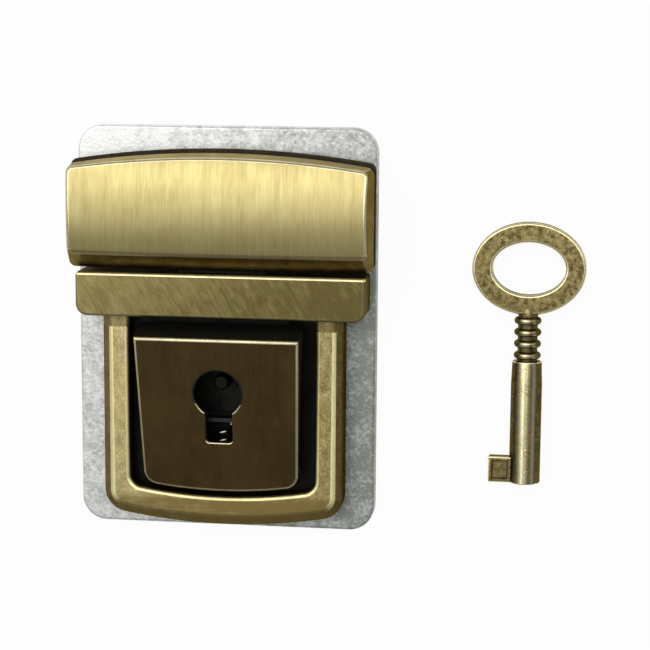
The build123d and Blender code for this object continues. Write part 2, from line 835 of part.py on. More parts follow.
os.makedirs("parts", exist_ok=True)
pieces = {
    "backing_plate": backing_plate,
    "case_front": case_front,
    "case_back": case_back,
    "case_screws": case_screws,
    "key_post": key_post,
    "hinge_pin": hinge_pin,
    "thumb_tab": thumb_tab,
    "tab_return_spring": tab_return_spring,
    "catch_spring": catch_spring,
    "catch_rivets": catch_rivets,
    "lock_bolt": lock_bolt,
    "bolt_keepers": bolt_keepers,
    "bolt_spring": bolt_spring,
    "flap_cap": flap_cap,
    "flap_rear_plate": flap_rear_plate,
    "flap_screws": flap_screws,
    "tongue": tongue,
    "tongue_rivets": tongue_rivets,
    "key": key,
}
for label, piece in pieces.items():
    piece.part.label = label
    export_step(piece.part, f"parts/{label}.step")
    print(label, len(piece.part.solids()), round(piece.part.volume, 2))
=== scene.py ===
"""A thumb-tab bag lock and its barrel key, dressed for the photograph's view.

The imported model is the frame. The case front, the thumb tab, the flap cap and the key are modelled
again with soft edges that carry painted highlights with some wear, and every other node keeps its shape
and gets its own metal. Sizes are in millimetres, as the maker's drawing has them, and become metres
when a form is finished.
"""

import logging
import math
from dataclasses import dataclass, field
from enum import Enum
from typing import Callable

import bmesh
import bpy
from bmesh.types import BMEdge, BMFace, BMVert
from bpy.types import Material, Node, NodeSocket, NodeTree, Object
from mathutils import Matrix, Vector


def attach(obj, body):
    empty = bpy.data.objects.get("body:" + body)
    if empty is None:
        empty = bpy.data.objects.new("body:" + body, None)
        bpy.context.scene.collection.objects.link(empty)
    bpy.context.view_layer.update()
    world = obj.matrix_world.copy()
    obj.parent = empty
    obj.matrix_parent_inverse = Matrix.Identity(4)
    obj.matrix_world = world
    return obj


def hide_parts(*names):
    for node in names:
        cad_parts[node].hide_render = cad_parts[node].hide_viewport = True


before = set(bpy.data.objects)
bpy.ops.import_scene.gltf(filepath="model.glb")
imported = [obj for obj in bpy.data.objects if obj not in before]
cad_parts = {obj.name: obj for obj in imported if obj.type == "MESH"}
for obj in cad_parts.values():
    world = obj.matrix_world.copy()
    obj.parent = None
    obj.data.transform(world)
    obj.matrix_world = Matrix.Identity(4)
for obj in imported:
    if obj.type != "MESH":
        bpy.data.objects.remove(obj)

LOG = logging.getLogger("bag_lock")
MM = 0.001
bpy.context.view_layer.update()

X, Y, Z = Vector((1.0, 0.0, 0.0)), Vector((0.0, 1.0, 0.0)), Vector((0.0, 0.0, 1.0))
# Places this close together count as one, and corners this close become one, in millimetres
NEAR = 0.02
JOINED = 1e-4
# A face looks in a direction if its normal has at least this share of it
FACING = 0.99
# An edge counts as sharp from the first angle, and is shaded sharp from the second, in degrees
SHARP = 25.0
SHADED_SHARP = 38.0
# The flats of a round corner, and the cuts that make an arc of a straight edge
CORNER_STEPS = 8
ARC_CUTS = 23

Colour = tuple[float, float, float]
Value = float | tuple | NodeSocket


# Shader trees


class Tree:
    """A shader node tree that is being wired up."""

    def __init__(self, tree: NodeTree) -> None:
        """Start on the node tree of a material or a group."""
        self.tree = tree

    def add(self, kind: str, values: dict[str | int, Value] | None = None, **settings: object) -> Node:
        """Add a node.

        Args:
            kind: The node's type.
            values: What goes into its inputs, each a plain value or another node's output.
            **settings: The node's own settings.

        Returns:
            The new node.
        """
        node = self.tree.nodes.new(kind)
        for name, setting in settings.items():
            setattr(node, name, setting)
        for name, value in (values or {}).items():
            self.put(value, node.inputs[name])
        return node

    def put(self, value: Value, socket: NodeSocket) -> None:
        """Link an output to a socket, or set the socket to a plain value.

        Args:
            value: The output or the value, where three numbers make an opaque colour.
            socket: The socket.
        """
        if isinstance(value, NodeSocket):
            self.tree.links.new(value, socket)
        else:
            socket.default_value = (*value, 1.0) if socket.type == "RGBA" else value

    def sum(self, operation: str, first: Value, second: Value = 0.0, clamp: bool = False) -> NodeSocket:
        """Work out one sum of two values, and keep it between 0 and 1 if it is clamped."""
        values = {0: first, 1: second}
        return self.add("ShaderNodeMath", values, operation=operation, use_clamp=clamp).outputs[0]

    def plus(self, first: Value, second: Value, clamp: bool = False) -> NodeSocket:
        """Add two values."""
        return self.sum("ADD", first, second, clamp)

    def minus(self, first: Value, second: Value, clamp: bool = False) -> NodeSocket:
        """Take the second value from the first."""
        return self.sum("SUBTRACT", first, second, clamp)

    def times(self, first: Value, second: Value, clamp: bool = False) -> NodeSocket:
        """Multiply two values."""
        return self.sum("MULTIPLY", first, second, clamp)

    def remap(
        self, value: Value, low: Value, high: Value, to_low: Value = 0.0, to_high: Value = 1.0
    ) -> NodeSocket:
        """Stretch a value from the range low to high to another range, and hold it there."""
        values = {"Value": value, "From Min": low, "From Max": high, "To Min": to_low, "To Max": to_high}
        return self.add("ShaderNodeMapRange", values, clamp=True).outputs["Result"]

    def mix(self, share: Value, first: Value, second: Value) -> NodeSocket:
        """Mix two colours, where share is how much of the second shows."""
        return self.add("ShaderNodeMix", {0: share, 6: first, 7: second}, data_type="RGBA").outputs[2]

    def noise(self, place: NodeSocket, scale: Value, detail: float, roughness: float) -> NodeSocket:
        """Give the value of a noise pattern at a place."""
        values = {"Vector": place, "Scale": scale, "Detail": detail, "Roughness": roughness}
        return self.add("ShaderNodeTexNoise", values).outputs[0]

    def cells(self, place: NodeSocket, scale: Value) -> Node:
        """Divide the surface into uneven cells."""
        values = {"Vector": place, "Scale": scale, "Randomness": 1.0}
        return self.add("ShaderNodeTexVoronoi", values, feature="F1")

    def axes(self, vector: NodeSocket) -> list[NodeSocket]:
        """Give a vector's three axes."""
        return self.add("ShaderNodeSeparateXYZ", {"Vector": vector}).outputs[:]


class Surface(Tree):
    """A material's tree, with the place in the object and the normal that it colours by."""

    def __init__(self, tree: NodeTree) -> None:
        """Start on the node tree of a material.

        Args:
            tree: The node tree.
        """
        super().__init__(tree)
        given = self.add("ShaderNodeTexCoord").outputs
        self.place, self.normal = given["Object"], given["Normal"]
        self.x, self.y, self.z = self.axes(self.place)

    def mark(self, name: str) -> NodeSocket:
        """Read a mark that a form's faces carry."""
        return self.add("ShaderNodeAttribute", attribute_name=name).outputs["Fac"]

    def use(self, effect: "Effect", **values: Value) -> list[NodeSocket]:
        """Lay an effect on the surface and give its outputs, where values go into its inputs."""
        values = {"Vector": self.place, **values}
        return self.add("ShaderNodeGroup", values, node_tree=effect.group()).outputs[:]


class EffectGroup(Tree):
    """The node group of a surface effect, which the method with the effect's name builds."""

    def takes(self, **inputs: float | tuple) -> list[NodeSocket]:
        """Give the group its inputs: a place in the object, and those that are named.

        Args:
            **inputs: The other inputs' names and usual values, where a tuple makes a vector.

        Returns:
            The inputs' sockets, the place first.
        """
        inputs = {"Vector": (0.0, 0.0, 0.0), **inputs}
        for name, value in inputs.items():
            kind = "NodeSocketVector" if isinstance(value, tuple) else "NodeSocketFloat"
            self.tree.interface.new_socket(name=name, in_out="INPUT", socket_type=kind).default_value = value
        given = self.add("NodeGroupInput")
        return [given.outputs[name] for name in inputs]

    def gives(self, **outputs: NodeSocket) -> None:
        """Give the group its outputs, and wire them up.

        Args:
            **outputs: The outputs' names, and what each one gives.
        """
        for name in outputs:
            self.tree.interface.new_socket(name=name, in_out="OUTPUT", socket_type="NodeSocketFloat")
        self.add("NodeGroupOutput", outputs)

    def brushed_lines(self) -> None:
        """Draw the long fine strokes that an abrasive belt leaves."""
        place, turn, across, along = self.takes(Turn=0.0, Across=3500.0, Along=150.0)
        turned = self.add("ShaderNodeVectorRotate", {"Vector": place, "Angle": turn}, rotation_type="Z_AXIS")
        scales = self.add("ShaderNodeCombineXYZ", {"X": across, "Y": along, "Z": along})
        factors = {0: turned.outputs[0], 1: scales.outputs[0]}
        drawn = self.add("ShaderNodeVectorMath", factors, operation="MULTIPLY").outputs[0]
        fine = self.noise(drawn, scale=1.0, detail=2.0, roughness=0.6)
        broad = self.noise(drawn, scale=0.27, detail=1.0, roughness=0.5)
        both = self.plus(self.times(fine, 0.62), self.times(broad, 0.38))
        self.gives(Tone=self.remap(both, 0.34, 0.66))

    def tarnish(self) -> None:
        """Spread the soft clouds of a lacquered metal that has dulled."""
        place, size = self.takes(Size=300.0)
        self.gives(Tone=self.remap(self.noise(place, size, detail=3.0, roughness=0.62), 0.33, 0.67))

    def spangle(self) -> None:
        """Grow the frosty crystals of a hot-dipped zinc skin."""
        place, size = self.takes(Size=900.0)
        facets = self.add("ShaderNodeSeparateColor", {"Color": self.cells(place, size).outputs["Color"]})
        frost = self.remap(self.noise(place, scale=2600.0, detail=3.0, roughness=0.7), 0.3, 0.7)
        soft = self.remap(self.noise(place, scale=420.0, detail=3.0, roughness=0.6), 0.35, 0.65)
        lit = self.plus(self.times(facets.outputs[0], 0.34), self.times(frost, 0.36))
        self.gives(Tone=self.plus(lit, self.times(soft, 0.30)), Height=frost)

    def pits(self) -> None:
        """Sink the small dark pits of a cast or corroded skin."""
        place, size, amount = self.takes(Size=1500.0, Amount=0.3)
        bowls = self.remap(self.cells(place, size).outputs["Distance"], 0.12, 0.42, 1.0, 0.0)
        where = self.remap(self.noise(place, scale=520.0, detail=2.0, roughness=0.6), 0.46, 0.60)
        self.gives(Depth=self.times(self.times(bowls, where), amount))

    def wall_shade_and_patina(self) -> None:
        """Paint shade, with some patina, on walls and wherever faces are marked as shaded, darker as a face
        turns from upright.
        """
        place, normal, shade_and_patina, start, full = self.takes(Normal=(0.0, 0.0, 1.0), Aged=0.0, Start=0.9, Full=0.6)
        walls = self.remap(self.axes(normal)[2], full, start, 1.0, 0.0)
        kept = self.remap(self.noise(place, scale=420.0, detail=3.0, roughness=0.6), 0.32, 0.62, 0.78, 1.0)
        self.gives(Mask=self.sum("MAXIMUM", self.times(walls, kept), shade_and_patina, clamp=True))

    def highlit_and_worn_edges(self) -> None:
        """Paint highlights, with some wear, where the faces are marked as bright."""
        place, wear_and_highlight = self.takes(Wear=0.0)
        kept = self.remap(self.noise(place, scale=650.0, detail=3.0, roughness=0.6), 0.30, 0.56, 0.75, 1.0)
        self.gives(Mask=self.times(wear_and_highlight, kept, clamp=True))


class Effect(Enum):
    """The surface effects that several metals share, each one node group."""

    BRUSHED_LINES = "brushed_lines"
    TARNISH = "tarnish"
    SPANGLE = "spangle"
    PITS = "pits"
    WALL_SHADE_AND_PATINA = "wall_shade_and_patina"
    HIGHLIT_AND_WORN_EDGES = "highlit_and_worn_edges"

    def group(self) -> NodeTree:
        """Give this effect's node group, built the first time it is asked for.

        Returns:
            The node group.
        """
        found = bpy.data.node_groups.get(self.value)
        if found:
            return found
        made = bpy.data.node_groups.new(self.value, "ShaderNodeTree")
        getattr(EffectGroup(made), self.value)()
        return made


# Metals


@dataclass(frozen=True)
class Metal:
    """A plated or bare metal: its colours, its grain, its painted shade and patina, and its painted
    highlights and wear.
    """

    name: str
    light: Colour
    dark: Colour
    # The colour that painted highlights and wear give the marked edges
    worn_and_highlit: Colour = (0.9, 0.8, 0.55)
    shade_and_patina: Colour = (0.05, 0.04, 0.02)
    roughness: float = 0.4
    rough_spread: float = 0.06
    grain: float = 0.5
    turn: float = 0.0
    across: float = 3500.0
    along: float = 150.0
    patches: float = 0.3
    patch_size: float = 300.0
    pits: float = 0.0
    pit_size: float = 1500.0
    # Painted shade, with some patina: faces darken as they turn from upright, between these two heights of
    # their normal
    wall_shade_start: float = 0.90
    wall_shade_full: float = 0.55
    shade_and_patina_amount: float = 1.0
    # Painted shade: how much darker the colour grows towards the lock's right side, and over what half width
    right_shade: float = 0.0
    right_shade_half: float = 18.0
    relief: float = 0.004
    polish: float = 0.16
    edge_tint: Colour = (0.60, 0.52, 0.36)

    def material(self) -> Material:
        """Give this metal's material, built the first time it is asked for.

        Returns:
            The material.
        """
        found = bpy.data.materials.get(self.name)
        if found:
            return found
        made = bpy.data.materials.new(self.name)
        made.use_nodes = True
        tree = Surface(made.node_tree)
        tone, height = self._skin(tree)
        pits = tree.use(Effect.PITS, Size=self.pit_size, Amount=self.pits)[0]
        shade = tree.minus(tree.minus(tone, pits), self._right_shade(tree), clamp=True)
        colour = tree.mix(self._shade_and_patina(tree), tree.mix(shade, self.dark, self.light), self.shade_and_patina)
        worn_and_highlit = tree.use(Effect.HIGHLIT_AND_WORN_EDGES, Wear=tree.mark("wear_and_highlight"))[0]
        dull, bright = self.roughness + self.rough_spread, self.roughness - self.rough_spread
        rough = tree.remap(shade, 0.0, 1.0, dull, bright)
        relief = {"Height": tree.minus(height, pits), "Strength": 1.0, "Distance": self.relief * MM}
        surface = {
            "Metallic": 1.0,
            "Specular Tint": self.edge_tint,
            "Base Color": tree.mix(worn_and_highlit, colour, self.worn_and_highlit),
            "Roughness": tree.minus(rough, tree.times(worn_and_highlit, self.polish)),
            "Normal": tree.add("ShaderNodeBump", relief).outputs["Normal"],
        }
        for name, value in surface.items():
            tree.put(value, made.node_tree.nodes["Principled BSDF"].inputs[name])
        return made

    def _right_shade(self, tree: Surface) -> NodeSocket:
        """Paint shade that darkens the colour towards the lock's right side, where less light falls."""
        half = self.right_shade_half * MM
        return tree.remap(tree.x, -half, half, 0.0, self.right_shade)

    def _shade_and_patina(self, tree: Surface) -> NodeSocket:
        """Paint shade, with some patina, on the walls and wherever the form is marked with painted shade."""
        reach = {"Normal": tree.normal, "Start": self.wall_shade_start, "Full": self.wall_shade_full}
        return tree.times(tree.use(Effect.WALL_SHADE_AND_PATINA, Aged=tree.mark("age"), **reach)[0], self.shade_and_patina_amount)

    def _skin(self, tree: Surface) -> tuple[NodeSocket, NodeSocket]:
        """Lay strokes over cloudy patches.

        Args:
            tree: The material's tree.

        Returns:
            The skin's tone from 0, dark, to 1, light, and its height.
        """
        strokes = self._strokes(tree)
        clouds = tree.use(Effect.TARNISH, Size=self.patch_size)[0]
        grain = tree.times(tree.minus(strokes, 0.5), self.grain)
        patches = tree.times(tree.minus(clouds, 0.5), self.patches)
        return tree.plus(tree.plus(grain, patches), 0.5, clamp=True), tree.times(strokes, self.grain)

    def _strokes(self, tree: Surface) -> NodeSocket:
        """Brush the metal in one direction."""
        turn = math.radians(self.turn)
        return tree.use(Effect.BRUSHED_LINES, Turn=turn, Across=self.across, Along=self.along)[0]


@dataclass(frozen=True)
class FrameMetal(Metal):
    """Cast metal with a blasted grain on its sides, and a foot that is brushed crosswise."""

    foot_y: float = -21.6
    foot_blend: float = 1.2
    foot_dull: float = 0.62
    foot_strokes: tuple[float, float] = (4200.0, 150.0)

    def _strokes(self, tree: Surface) -> NodeSocket:
        """Brush the foot crosswise and leave the sides as they were cast.

        Args:
            tree: The material's tree.

        Returns:
            The strokes' tone.
        """
        sides = super()._strokes(tree)
        across, along = self.foot_strokes
        foot = tree.use(Effect.BRUSHED_LINES, Turn=math.pi / 2, Across=across, Along=along)[0]
        half = self.foot_blend / 2
        share = tree.remap(tree.y, (self.foot_y + half) * MM, (self.foot_y - half) * MM)
        both = tree.add("ShaderNodeMix", {0: share, 2: sides, 3: foot}, data_type="FLOAT").outputs[0]
        dulled = tree.times(share, tree.times(both, self.foot_dull))
        return tree.minus(both, tree.plus(dulled, tree.times(share, self.foot_dull / 2)))


@dataclass(frozen=True)
class ZincSkin(Metal):
    """Hot-dipped zinc, frosted with crystals, with painted light at its head and painted shade, black, under
    the case.
    """

    head_y: float = 19.0
    head_blend: float = 2.0
    painted_head_light: float = 0.41
    lift: float = 0.22
    case_half: float = 12.0
    case_low: float = -21.0
    case_high: float = 6.0

    def _skin(self, tree: Surface) -> tuple[NodeSocket, NodeSocket]:
        """Cover the metal with crystals, and paint light onto its head.

        Args:
            tree: The material's tree.

        Returns:
            The skin's tone and its height.
        """
        crystals, height = tree.use(Effect.SPANGLE, Size=self.patch_size)
        # Painted light: the tone rises towards the plate's head, where more light falls
        low, high = (self.head_y - self.head_blend) * MM, (self.head_y + self.head_blend) * MM
        head = tree.remap(tree.y, low, high, self.lift, self.lift + self.painted_head_light)
        return tree.plus(tree.times(crystals, self.grain), head), height

    def _shade_and_patina(self, tree: Surface) -> NodeSocket:
        """Paint shade, black, on the plate's face where the case covers it.

        Args:
            tree: The material's tree.

        Returns:
            The painted shade's mask.
        """
        across = tree.sum("LESS_THAN", tree.sum("ABSOLUTE", tree.x), self.case_half * MM)
        below = tree.sum("LESS_THAN", tree.y, self.case_high * MM)
        above = tree.sum("GREATER_THAN", tree.y, self.case_low * MM)
        upper = tree.sum("GREATER_THAN", tree.z, MM)
        return tree.times(tree.times(across, upper), tree.times(below, above))


CAP_BRASS = Metal(
    "brushed_cap_brass", light=(0.595, 0.525, 0.255), dark=(0.38, 0.30, 0.112), worn_and_highlit=(0.88, 0.80, 0.50),
    shade_and_patina=(0.130, 0.092, 0.043), roughness=0.36, grain=0.43, across=5200.0, along=300.0, patches=0.22,
    patch_size=260.0, wall_shade_start=0.86, wall_shade_full=0.60,
)
BAR_BRASS = Metal(
    "bar_brass", light=(0.43, 0.36, 0.150), dark=(0.150, 0.118, 0.042), worn_and_highlit=(0.95, 0.85, 0.50),
    roughness=0.38, grain=0.45, turn=-33.0, across=6500.0, along=650.0, patches=0.25, patch_size=320.0,
    right_shade=0.55, polish=0.0,
)
FRAME_BRASS = FrameMetal(
    "frame_brass", light=(0.90, 0.76, 0.38), dark=(0.27, 0.20, 0.070), worn_and_highlit=(1.0, 0.92, 0.50),
    shade_and_patina=(0.085, 0.058, 0.016), edge_tint=(0.45, 0.36, 0.18), roughness=0.40, grain=0.6, across=5200.0,
    along=3000.0, patches=0.2, patch_size=500.0, pits=0.12, pit_size=3200.0, right_shade=0.30, right_shade_half=15.0,
    wall_shade_start=0.97, wall_shade_full=0.60, polish=0.0,
)
# Its shade colour is the painted shade on the tab's lip under the bar and on its walls
TAB_BRONZE = Metal(
    "dark_tab_bronze", light=(0.131, 0.085, 0.033), dark=(0.080, 0.052, 0.020), worn_and_highlit=(0.95, 0.86, 0.56),
    shade_and_patina=(0.042, 0.046, 0.042), roughness=0.48, rough_spread=0.03, grain=0.5, across=2600.0, along=300.0,
    patches=0.7, patch_size=180.0, wall_shade_start=0.90, wall_shade_full=0.6, right_shade=0.2, relief=0.001,
)
KEY_BRASS = Metal(
    "aged_key_brass", light=(0.385, 0.313, 0.134), dark=(0.098, 0.075, 0.027), worn_and_highlit=(1.0, 0.90, 0.56),
    roughness=0.30, rough_spread=0.08, grain=0.1, across=2600.0, along=1200.0, patches=1.0, patch_size=1500.0,
    pits=0.5, pit_size=1900.0, wall_shade_start=0.94, wall_shade_full=0.66, shade_and_patina_amount=0.88, relief=0.02, polish=0.08,
)
# Near black: painted shade for the dark gap between the flap and the backing plate
REAR_PLATE_SHADE = Metal(
    "rear_plate_shade", light=(0.060, 0.052, 0.036), dark=(0.025, 0.022, 0.015), roughness=0.45, grain=0.4,
    across=2600.0, along=300.0, patches=0.3,
)
BACK_ZINC = ZincSkin(
    "back_zinc", light=(0.95, 0.96, 0.95), dark=(0.32, 0.345, 0.31), shade_and_patina=(0.02, 0.02, 0.02), roughness=0.55,
    grain=1.0, patch_size=2300.0, right_shade=0.68, right_shade_half=19.0, relief=0.02, edge_tint=(0.9, 0.9, 0.9),
)
BRIGHT_STEEL = Metal(
    "bright_steel", light=(0.62, 0.62, 0.60), dark=(0.36, 0.36, 0.35), roughness=0.3, patches=0.4, shade_and_patina_amount=0.0,
)
# Blackened steel; on the tongue it is painted shade
BLACK_STEEL_AND_SHADE = Metal(
    "black_steel_and_shade", light=(0.017, 0.017, 0.015), dark=(0.008, 0.008, 0.007), roughness=0.42, patches=0.5,
    shade_and_patina_amount=0.0, relief=0.002,
)
SPRING_STEEL = Metal(
    "spring_wire", light=(0.58, 0.55, 0.48), dark=(0.30, 0.28, 0.24), roughness=0.24, grain=0.2, patches=0.3,
    shade_and_patina_amount=0.0, relief=0.001,
)


def dress(metal: Metal, *nodes: str) -> None:
    """Give CAD nodes their metal.

    Args:
        metal: The metal.
        *nodes: The nodes' names.
    """
    for name in nodes:
        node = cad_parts[name]
        node.data.materials.clear()
        node.data.materials.append(metal.material())
        LOG.info("%s: its own solid, in %s", name, metal.name)


# Mesh work


class Form:
    """A solid that is shaped in millimetres with mesh operators."""

    def __init__(self) -> None:
        """Start with nothing."""
        self.mesh = bmesh.new()
        # Each face carries how bright it is painted, a highlight with some wear, and how dark, painted shade
        self.wear_and_highlight = self.mesh.faces.layers.float.new("wear_and_highlight")
        self.age = self.mesh.faces.layers.float.new("age")

    def outline(
        self, foot_half: float, head_half: float, foot_y: float, head_y: float, z: float,
        foot_rise: float = 0.0, head_rise: float = 0.0, foot_r: float = 0.0, head_r: float = 0.0,
    ) -> BMFace:
        """Draw a four-sided outline whose foot and head may bow out and whose corners may be round.

        Args:
            foot_half: Half the width at the foot.
            head_half: Half the width at the head.
            foot_y: The lowest point of the foot.
            head_y: The highest point of the head.
            z: The height that it lies at.
            foot_rise: How much higher the foot's corners are than its middle.
            head_rise: How much lower the head's corners are than its middle.
            foot_r: The radius of the foot's corners.
            head_r: The radius of the head's corners.

        Returns:
            The face inside the outline.
        """
        before = set(self.mesh.faces)
        ends = ((foot_half, foot_y + foot_rise), (head_half, head_y - head_rise))
        feet, heads = ([self.mesh.verts.new((side * half, y, z)) for side in (-1, 1)] for half, y in ends)
        self.mesh.faces.new([*feet, *reversed(heads)])
        for pair, radius in ((feet, foot_r), (heads, head_r)):
            if radius:
                self.cornered(pair, radius, CORNER_STEPS)
        face = self.since(before)[0]
        middle = (foot_y + head_y) / 2
        level = [e for e in face.edges if abs(e.verts[0].co.y - e.verts[1].co.y) < NEAR]
        chords = [e for e in level if e.calc_length() > foot_half]
        bowed = [e for e in chords if (foot_rise if e.verts[0].co.y < middle else head_rise)]
        if bowed:
            bmesh.ops.bisect_edges(self.mesh, edges=bowed, cuts=ARC_CUTS)
        for vert in face.verts:
            if vert.co.y < middle and foot_rise:
                vert.co.y -= bow_depth(vert.co.x, foot_half, foot_rise)
            elif vert.co.y > middle and head_rise:
                vert.co.y += bow_depth(vert.co.x, head_half, head_rise)
        return face

    def cornered(self, verts: list[BMVert], radius: float, steps: int) -> None:
        """Make arcs of an outline's corners.

        Args:
            verts: The corners.
            radius: The arcs' radius.
            steps: How many flats each one has.
        """
        bmesh.ops.bevel(
            self.mesh, geom=verts, offset=radius, offset_type="OFFSET", segments=steps,
            profile=0.5, affect="VERTICES", material=-1,
        )

    def ring(self, place: Matrix, radius: float, steps: int) -> list[BMEdge]:
        """Draw a circle where a matrix puts it."""
        verts = bmesh.ops.create_circle(self.mesh, radius=radius, segments=steps, matrix=place)["verts"]
        return list(dict.fromkeys(e for v in verts for e in v.link_edges))

    def block(self, low: tuple[float, float, float], high: tuple[float, float, float]) -> None:
        """Add a box from its lowest corner to its highest."""
        place = Matrix.LocRotScale((Vector(high) + Vector(low)) / 2, None, Vector(high) - Vector(low))
        bmesh.ops.create_cube(self.mesh, size=1.0, matrix=place)

    def raised(self, face: BMFace, height: float) -> BMFace:
        """Extrude a face straight up, and keep it as the base if nothing joins it.

        Args:
            face: The face.
            height: How far it goes, downwards if negative.

        Returns:
            The face at the far end.
        """
        joined = any(len(e.link_faces) > 1 for e in face.edges)
        end = self.pushed([face], Z * height)[0]
        if joined:
            self.opened(face)
        return end

    def pushed(self, faces: list[BMFace], way: Vector) -> list[BMFace]:
        """Extrude some faces together, and keep them where they were too.

        Args:
            faces: The faces.
            way: How far their copies move.

        Returns:
            The moved faces.
        """
        moved = bmesh.ops.extrude_face_region(self.mesh, geom=faces)["geom"]
        ends = [g for g in moved if isinstance(g, BMFace)]
        bmesh.ops.translate(self.mesh, vec=way, verts=list({v for f in ends for v in f.verts}))
        return ends

    def stepped(self, face: BMFace, width: float, rise: float) -> BMFace:
        """Draw a face in by a width and lift it along its normal, which leaves a slope round it."""
        bmesh.ops.inset_individual(self.mesh, faces=[face], thickness=width, depth=rise, use_even_offset=True)
        return face

    def opened(self, face: BMFace) -> list[BMEdge]:
        """Take a face away and give the edges round the opening.

        Args:
            face: The face.

        Returns:
            The edges.
        """
        edges = face.edges[:]
        bmesh.ops.delete(self.mesh, geom=[face], context="FACES_ONLY")
        return edges

    def free_edges(self, z: float) -> list[BMEdge]:
        """Find the edges at one height that only one face joins."""
        free = [e for e in self.mesh.edges if e.is_boundary]
        return [e for e in free if all(abs(v.co.z - z) < NEAR for v in e.verts)]

    def bridged(self, first: list[BMEdge], second: list[BMEdge]) -> None:
        """Join two rings of edges with a wall."""
        bmesh.ops.bridge_loops(self.mesh, edges=first + second)

    def filled(self, outer: list[BMEdge], inner: list[BMEdge]) -> None:
        """Fill the flat area between a ring and another inside it."""
        bmesh.ops.triangle_fill(self.mesh, edges=outer + inner, use_beauty=True, use_dissolve=False)

    def cut(self, point: Vector, outward: Vector, among: list[BMFace] | None = None) -> None:
        """Cut everything off beyond a plane, and close the cut.

        Args:
            point: A point of the plane.
            outward: The side that goes.
            among: The faces to cut, or all of them.
        """
        faces = among or self.mesh.faces[:]
        verts = list(dict.fromkeys(v for f in faces for v in f.verts))
        edges = list(dict.fromkeys(e for f in faces for e in f.edges))
        result = bmesh.ops.bisect_plane(
            self.mesh, geom=verts + edges + faces, plane_co=point, plane_no=outward, clear_outer=True
        )
        rim = [g for g in result["geom_cut"] if isinstance(g, BMEdge)]
        if rim:
            bmesh.ops.holes_fill(self.mesh, edges=rim, sides=0)

    def scored(self, axis: Vector, at: float) -> None:
        """Mark a line all round where a plane across an axis meets the form, and take nothing away."""
        everything = self.mesh.verts[:] + self.mesh.edges[:] + self.mesh.faces[:]
        bmesh.ops.bisect_plane(self.mesh, geom=everything, plane_co=axis * at, plane_no=axis)

    def since(self, before: set[BMFace]) -> list[BMFace]:
        """Find the faces that are new."""
        return [f for f in self.mesh.faces if f not in before]

    def facing(self, faces: list[BMFace], way: Vector) -> BMFace:
        """Find the largest of some faces that looks in a direction."""
        return max(faces, key=lambda f: f.calc_area() if f.normal.dot(way) > FACING else 0.0)

    def pierced(self, near: BMFace, far: BMFace, ring: Callable[["Form"], list[BMEdge]], way: Vector) -> None:
        """Make a hole through a wall.

        Args:
            near: The face that the hole starts in.
            far: The face that it comes out of.
            ring: Draws the hole's outline, anywhere along the hole.
            way: The direction of the hole.
        """
        ends = []
        for face in (near, far):
            point, normal = face.calc_center_median(), face.normal.copy()
            edges = ring(self)
            for vert in {v for e in edges for v in e.verts}:
                vert.co += way * ((point - vert.co).dot(normal) / way.dot(normal))
            self.filled(self.opened(face), edges)
            ends.append(edges)
        self.bridged(*ends)

    def spun(self, verts: list[BMVert], edges: list[BMEdge], steps: int) -> None:
        """Turn verts and edges all the way round the Y axis."""
        turn = {"cent": (0.0, 0.0, 0.0), "axis": Y, "angle": 2 * math.pi}
        bmesh.ops.spin(self.mesh, geom=verts + edges, steps=steps, use_merge=True, **turn)

    def settle(self) -> None:
        """Merge doubles, drop edges that no face uses and turn every face outwards."""
        bmesh.ops.remove_doubles(self.mesh, verts=self.mesh.verts[:], dist=JOINED)
        unused = [e for e in self.mesh.edges if e.is_wire]
        bmesh.ops.delete(self.mesh, geom=unused, context="EDGES")
        bmesh.ops.recalc_face_normals(self.mesh, faces=self.mesh.faces[:])

    def sharp(self, where: Callable[[Vector], bool], angle: float = SHARP) -> list[BMEdge]:
        """Find the sharp edges whose middle passes a test.

        Args:
            where: The test.
            angle: The least angle between an edge's two faces, in degrees.

        Returns:
            The edges.
        """
        limit = math.radians(angle)
        found = [e for e in self.mesh.edges if len(e.link_faces) == 2 and e.calc_face_angle() > limit]
        return [e for e in found if where((e.verts[0].co + e.verts[1].co) / 2)]

    def rounded(self, edges: list[BMEdge], radius: float, steps: int = 4, wear_and_highlight: float = 1.0) -> list[BMFace]:
        """Round edges off, and mark the new strips for painted highlights and wear.

        Args:
            edges: The edges.
            radius: The width taken off each side.
            steps: How many flats the rounding has.
            wear_and_highlight: How bright the strips are painted, a highlight with some wear, from 0 to 1.

        Returns:
            The strips' faces.
        """
        strips = bmesh.ops.bevel(
            self.mesh, geom=edges, offset=radius, offset_type="OFFSET", segments=steps,
            profile=0.5, affect="EDGES", material=-1, clamp_overlap=False,
        )["faces"]
        self.marked(strips, wear_and_highlight)
        return strips

    def marked(self, faces: list[BMFace], wear_and_highlight: float = 0.0, age: float = 0.0) -> None:
        """Say how bright and how dark some faces are painted.

        Args:
            faces: The faces.
            wear_and_highlight: How bright they are painted, a highlight with some wear, from 0 to 1.
            age: How dark they are painted, shade with some patina, from 0 to 1.
        """
        for face in faces:
            face[self.wear_and_highlight] = wear_and_highlight
            face[self.age] = age

